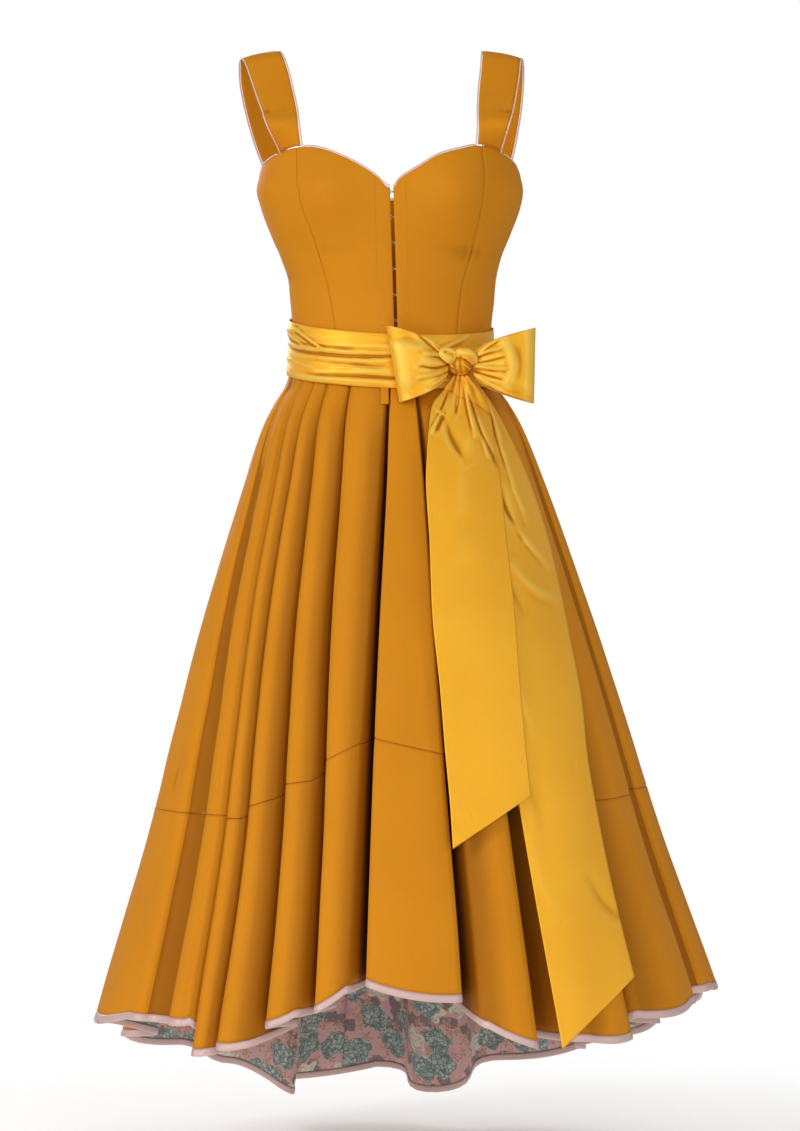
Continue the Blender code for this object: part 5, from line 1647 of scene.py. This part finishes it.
def make_knot_strip(name, bends):
    def middle(at):
        return (BOW_ALONG * gentle_read(bends, at, "x") + Vector((0, 0, gentle_read(bends, at, "z")))
                + BOW_AHEAD * gentle_read(bends, at, "ahead"))

    def place(i, j):
        at = i / STRIP_COLUMNS
        way = (middle(min(1.0, at + 0.02)) - middle(max(0.0, at - 0.02))).normalized()
        across = way.cross(BOW_AHEAD).normalized()
        side = 2 * j / STRIP_ROWS - 1
        curl = STRIP_ARCH * (1 - side * side) + STRIP_TWIST * math.sin(side * 4 + at * 5)
        return BOW_CENTRE + middle(at) + across * side * read(bends, at, "width") / 2 + BOW_AHEAD * curl

    cloth("bow_knot", SATIN, place, STRIP_COLUMNS, STRIP_ROWS, STRIP_WALL, "folded",
          name=f"bow_knot_{name}")


for name, bends in KNOT_STRIPS.items():
    make_knot_strip(name, bends)

# %% The two tails
def tail_table(*rows):
    """The two edges of a tail from the knot down, with the rows counted in the first column."""
    return table("at left_x left_z right_x right_z", *((at, *row) for at, row in enumerate(rows)))


TAIL_SHORT = tail_table(
    (79, -419, 97, -419), (66, -437, 113, -437), (51.4, -459, 123.5, -458),
    (45, -519, 131, -512), (43.7, -554, 137, -550), (47.8, -627, 144.5, -627),
    (50.7, -709, 153, -709), (60.2, -806, 159.5, -807), (66.5, -885, 166, -885),
    (72, -945, 170.8, -934.9), (75.3, -998, 170.9, -936.5),
)
TAIL_LONG = tail_table(
    (83, -419, 101, -419), (81, -437, 116, -437), (80.4, -455, 127.6, -453),
    (83.9, -489, 146.5, -487), (88.6, -549, 174.1, -548), (95.7, -613, 195.3, -612),
    (104, -672, 209.8, -672), (117.1, -751, 225, -752), (130.1, -823, 237.7, -825),
    (143.1, -888, 243.3, -891), (156.1, -948, 254.1, -958), (166.5, -1010, 267.9, -1031),
    (180, -1088, 282, -1095), (196.2, -1179, 296.8, -1156), (206, -1235, 297, -1158),
)
TAIL_CLEARANCE_LONG, TAIL_CLEARANCE_SHORT = 3.0, 8.0
TAIL_OVER_CRESTS = 4.0        # the crests of the skirt bulge under the tails
TAIL_GATHERED_ROWS, TAIL_STEP_BACK, TAIL_WAVE = 4, 3.0, 2.0
# u is x and v is height, in mm
SHORT_CREASES = creases(
    (94, -416, 104, -486, 7.0, 5.0, 2.0, 0.3), (81, -424, 60, -480, 5.0, -5.0, 2.0, 0.5),
    (86, -420, 82, -462, 2.4, -4.0, 0.0, 0.8), (76, -430, 54, -484, 4.0, 3.6, -2.0, 0.4),
    (92, -424, 126, -520, 3.0, -3.4, 3.0, 0.4), (70, -476, 92, -524, 11.0, -3.0, 4.0, 0.4),
    (104, -486, 90, -580, 16.0, 2.0, 5.0, 0.6), (106, -470, 120, -516, 5.0, 2.6, -2.0, 0.4),
    (56, -462, 68, -470, 1.6, 1.8, 0.0, 0.8),
    (82, -560, 92, -640, 22.0, 1.6, 2.0, 1.0), (112, -640, 122, -780, 26.0, 1.4, 3.0, 1.0),
    (80, -760, 96, -920, 26.0, -1.4, 3.0, 1.0),
)
LONG_CREASES = creases(
    (112, -424, 136, -490, 4.0, 3.0, 1.0, 0.4), (118, -440, 146, -540, 3.0, -3.0, 2.0, 0.6),
    (126, -470, 166, -590, 6.0, 2.4, 2.0, 0.4), (130, -530, 160, -610, 12.0, -4.0, 8.0, 0.4),
    (142, -560, 190, -650, 9.0, 2.4, 8.0, 0.4), (134, -620, 160, -710, 8.0, -1.8, 5.0, 0.6),
    (156, -660, 206, -700, 12.0, 1.6, 6.0, 0.5), (150, -740, 172, -850, 11.0, 1.4, 6.0, 0.4),
    (158, -850, 182, -960, 12.0, -1.5, 6.0, 0.5), (170, -960, 196, -1070, 13.0, 1.3, 6.0, 0.6),
    (206, -700, 222, -900, 20.0, -1.4, 6.0, 0.9), (244, -1040, 286, -1092, 12.0, -1.8, 6.0, 0.5),
)
TAIL_COLUMNS = 56
TAIL_GATHER, TAIL_GATHER_TURNS = 2.2, 21


def make_tail(name, rows, clearance, tail_creases, row_count):
    def place(i, j):
        share, at = i / TAIL_COLUMNS, (len(rows) - 1) * j / row_count
        x = mix(read(rows, at, "left_x"), read(rows, at, "right_x"), share)
        z = mix(read(rows, at, "left_z"), read(rows, at, "right_z"), share)
        gathered = max(0.0, 1.0 - at / TAIL_GATHERED_ROWS)
        wave = TAIL_WAVE * math.sin(share * 2 * math.pi + at)
        point = ring_point(angle_at(x, z), z)
        over = TAIL_OVER_CRESTS * smooth(1.0 - gathered)
        point.y = min(point.y, 0) - clearance - over - CAD_SATIN - wave * 0.5
        hang = BOW_CENTRE.y + (x - BOW_CENTRE.x) * math.tan(math.radians(BOW_TURN))
        hang -= clearance * 0.5 - TAIL_STEP_BACK
        point.y = mix(point.y, min(hang, point.y), gathered)
        point.y -= CAD_SATIN / 2 + creased(tail_creases, x, z)
        point.y -= TAIL_GATHER * math.sin(share * TAIL_GATHER_TURNS + 1.0) * gathered ** 2.5
        return point

    cloth(f"sash_tail_{name}", SATIN, place, TAIL_COLUMNS, row_count, SATIN_WALL)


make_tail("short", TAIL_SHORT, TAIL_CLEARANCE_SHORT, SHORT_CREASES, 260)
make_tail("long", TAIL_LONG, TAIL_CLEARANCE_LONG, LONG_CREASES, 300)

# %% [markdown]
# ## Hooks, eyes and stitches
#
# Six hooks and eyes close the front. Each is a bent wire behind the edge of the cloth, of which a tip shows
# in the gap. The stitches are real too: small drops of thread along the seam between the tiers and beside
# the opening. A bump in the material would be cheaper, but it has no shadow at the edge of a seam.

# %% Hooks and eyes
HOOK_COUNT, HOOK_TOP_Z, HOOK_SPACING = 6, -189.5, 32.0
HOOK_BEND, HOOK_REACH, HOOK_INSIDE, HOOK_OVERHANG, WIRE_RADIUS = 2.2, 5.0, 0.4, 0.8, 0.6
EYE_BACK, EYE_INSIDE = 0.1, 0.2          # how far an eye lies behind its hook, and inside its bend
WIRE_ROUND, WIRE_STEP, WIRE_SIDES = 0.6, 0.6, 8
CAD_CLOTH = 1.5


def plain(name, ending, slot, **constants):
    return Finish(principled(name, **constants)[2], slot, ending)


WIRE = plain("dark_wire", "wire", "wire", Metallic=0.9, Roughness=0.3, Base_Color=(0.42, 0.36, 0.32, 1))
for number in range(1, HOOK_COUNT + 1):
    z = HOOK_TOP_Z - (number - 1) * HOOK_SPACING
    for kind, side, back in (("hook", -1, 0.0), ("eye", 1, EYE_BACK)):
        bend = HOOK_BEND if kind == "hook" else HOOK_BEND - 2 * WIRE_RADIUS - EYE_INSIDE
        middle = opening_x(z, side) - side * (OPENING_WIDTH / 2 - HOOK_OVERHANG)
        round_x = side * bend * WIRE_ROUND
        end_x = middle + side * HOOK_REACH
        path = [(middle - round_x * math.cos(math.radians(turn)) + round_x,
                 bend * math.sin(math.radians(turn))) for turn in spread(-90, 90, 8)]
        depth = CAD_CLOTH + SEAM + WIRE_RADIUS + HOOK_INSIDE + back
        line = [lifted(bodice_point, angle_at(x, z + rise), z + rise, -depth)
                for x, rise in [(end_x, -bend), *path, (end_x, bend)]]
        cord(f"{kind}_{number}", WIRE, line, WIRE_RADIUS, WIRE_STEP, WIRE_SIDES)
print(HOOK_COUNT, "hooks and eyes")

# %% Stitches
STITCH_STEP, STITCH_SIZE = 3.0, (1.05, 0.34, 0.238)
STITCH_LIFT, OPENING_STITCH_LIFT = 0.2, 0.15     # of a stitch's middle over the cloth
OPENING_STITCHES = (-176.0, -396.0)      # heights between which the front edges are stitched
OPENING_LINES = {"left_front_stitches": (-1, 19.5), "right_front_stitches": (1, 15.5)}
FIRST_STITCH_DROP = 3                    # below the top edge
THREAD = plain("orange_thread", "stitches", "cloth", Roughness=0.55, Base_Color=(0.66, 0.25, 0.03, 1))


def sew(name, spots):
    """A row of stitches: each spot is a place, the direction of its seam, and the way out of the cloth."""
    bm = bmesh.new()
    for point, along, out in spots:
        side = out.cross(along).normalized()
        turn = Matrix((along, side, out)).transposed().to_4x4()
        size = Matrix.Diagonal((*(side_mm * MM for side_mm in STITCH_SIZE), 1))
        bmesh.ops.create_icosphere(bm, subdivisions=1, radius=1.0,
                                   matrix=Matrix.Translation(point * MM) @ turn @ size)
    print(name, len(spots), "stitches")
    finish_piece(bm, name, THREAD, [])


def tier_seam_spots():
    spots, run = [], 0.0
    line = [SKIRT_ROWS[SEAM_ROW + 1][i % STATION_COUNT] for i in range(STATION_COUNT + 1)]
    outs = [SKIRT_NORMALS[SEAM_ROW + 1][i % STATION_COUNT] for i in range(STATION_COUNT + 1)]
    for i in range(STATION_COUNT):
        step = line[i + 1] - line[i]
        while run < step.length:
            share = run / step.length
            out = outs[i].lerp(outs[i + 1], share).normalized()
            along = (step - out * step.dot(out)).normalized()
            spots.append((line[i] + step * share + out * STITCH_LIFT, along, out))
            run += STITCH_STEP
        run -= step.length
    return spots


def opening_spots(side, away):
    """Stitches down one side of the opening, this far from its edge."""
    spots = []
    z, stop = OPENING_STITCHES
    while z > stop:
        x = opening_x(z, side) + side * away
        angle = angle_at(x, z)
        top = top_edge_z(angle)
        if z < top - FIRST_STITCH_DROP:
            point = bodice_point(angle, z)
            out = facing(bodice_point, angle, z)
            down = bodice_point(angle_at(opening_x(z - 1, side) + side * away, z - 1), z - 1) - point
            along = (down - out * down.dot(out)).normalized()
            spots.append((point + out * OPENING_STITCH_LIFT, along, out))
        z -= STITCH_STEP
    return spots


sew("tier_seam_stitches", tier_seam_spots())
for name, line in OPENING_LINES.items():
    sew(name, opening_spots(*line))

# %% [markdown]
# ## The floor and the end
#
# The dress hangs just above a plain pale floor. The floor fades out at its edge, so that in the picture the
# white backdrop runs on without a line.

# %% Floor
FLOOR_Z, FLOOR_RADIUS, FLOOR_SIDES = -1.42, 1.3, 96
FLOOR_FADE = (0.3, 0.95)                 # shares of its radius between which it fades out


def make_floor():
    tree, inputs, material = principled("pale_floor", Roughness=0.85, Specular_IOR_Level=0.1,
                                        Base_Color=(0.94, 0.94, 0.94, 1), Emission_Color=WHITE,
                                        Emission_Strength=0.3)
    place = node(tree, "TexCoord").outputs["Object"]
    away = vector_maths(tree, "LENGTH", place).outputs["Value"]
    feed(tree, inputs["Alpha"], ramp(tree, away, *(FLOOR_RADIUS * share for share in FLOOR_FADE), 1.0, 0.0))
    bm = bmesh.new()
    bmesh.ops.create_circle(bm, cap_ends=True, segments=FLOOR_SIDES, radius=FLOOR_RADIUS)
    floor = mesh_object(bm, "floor", material)
    floor.location.z = FLOOR_Z


make_floor()
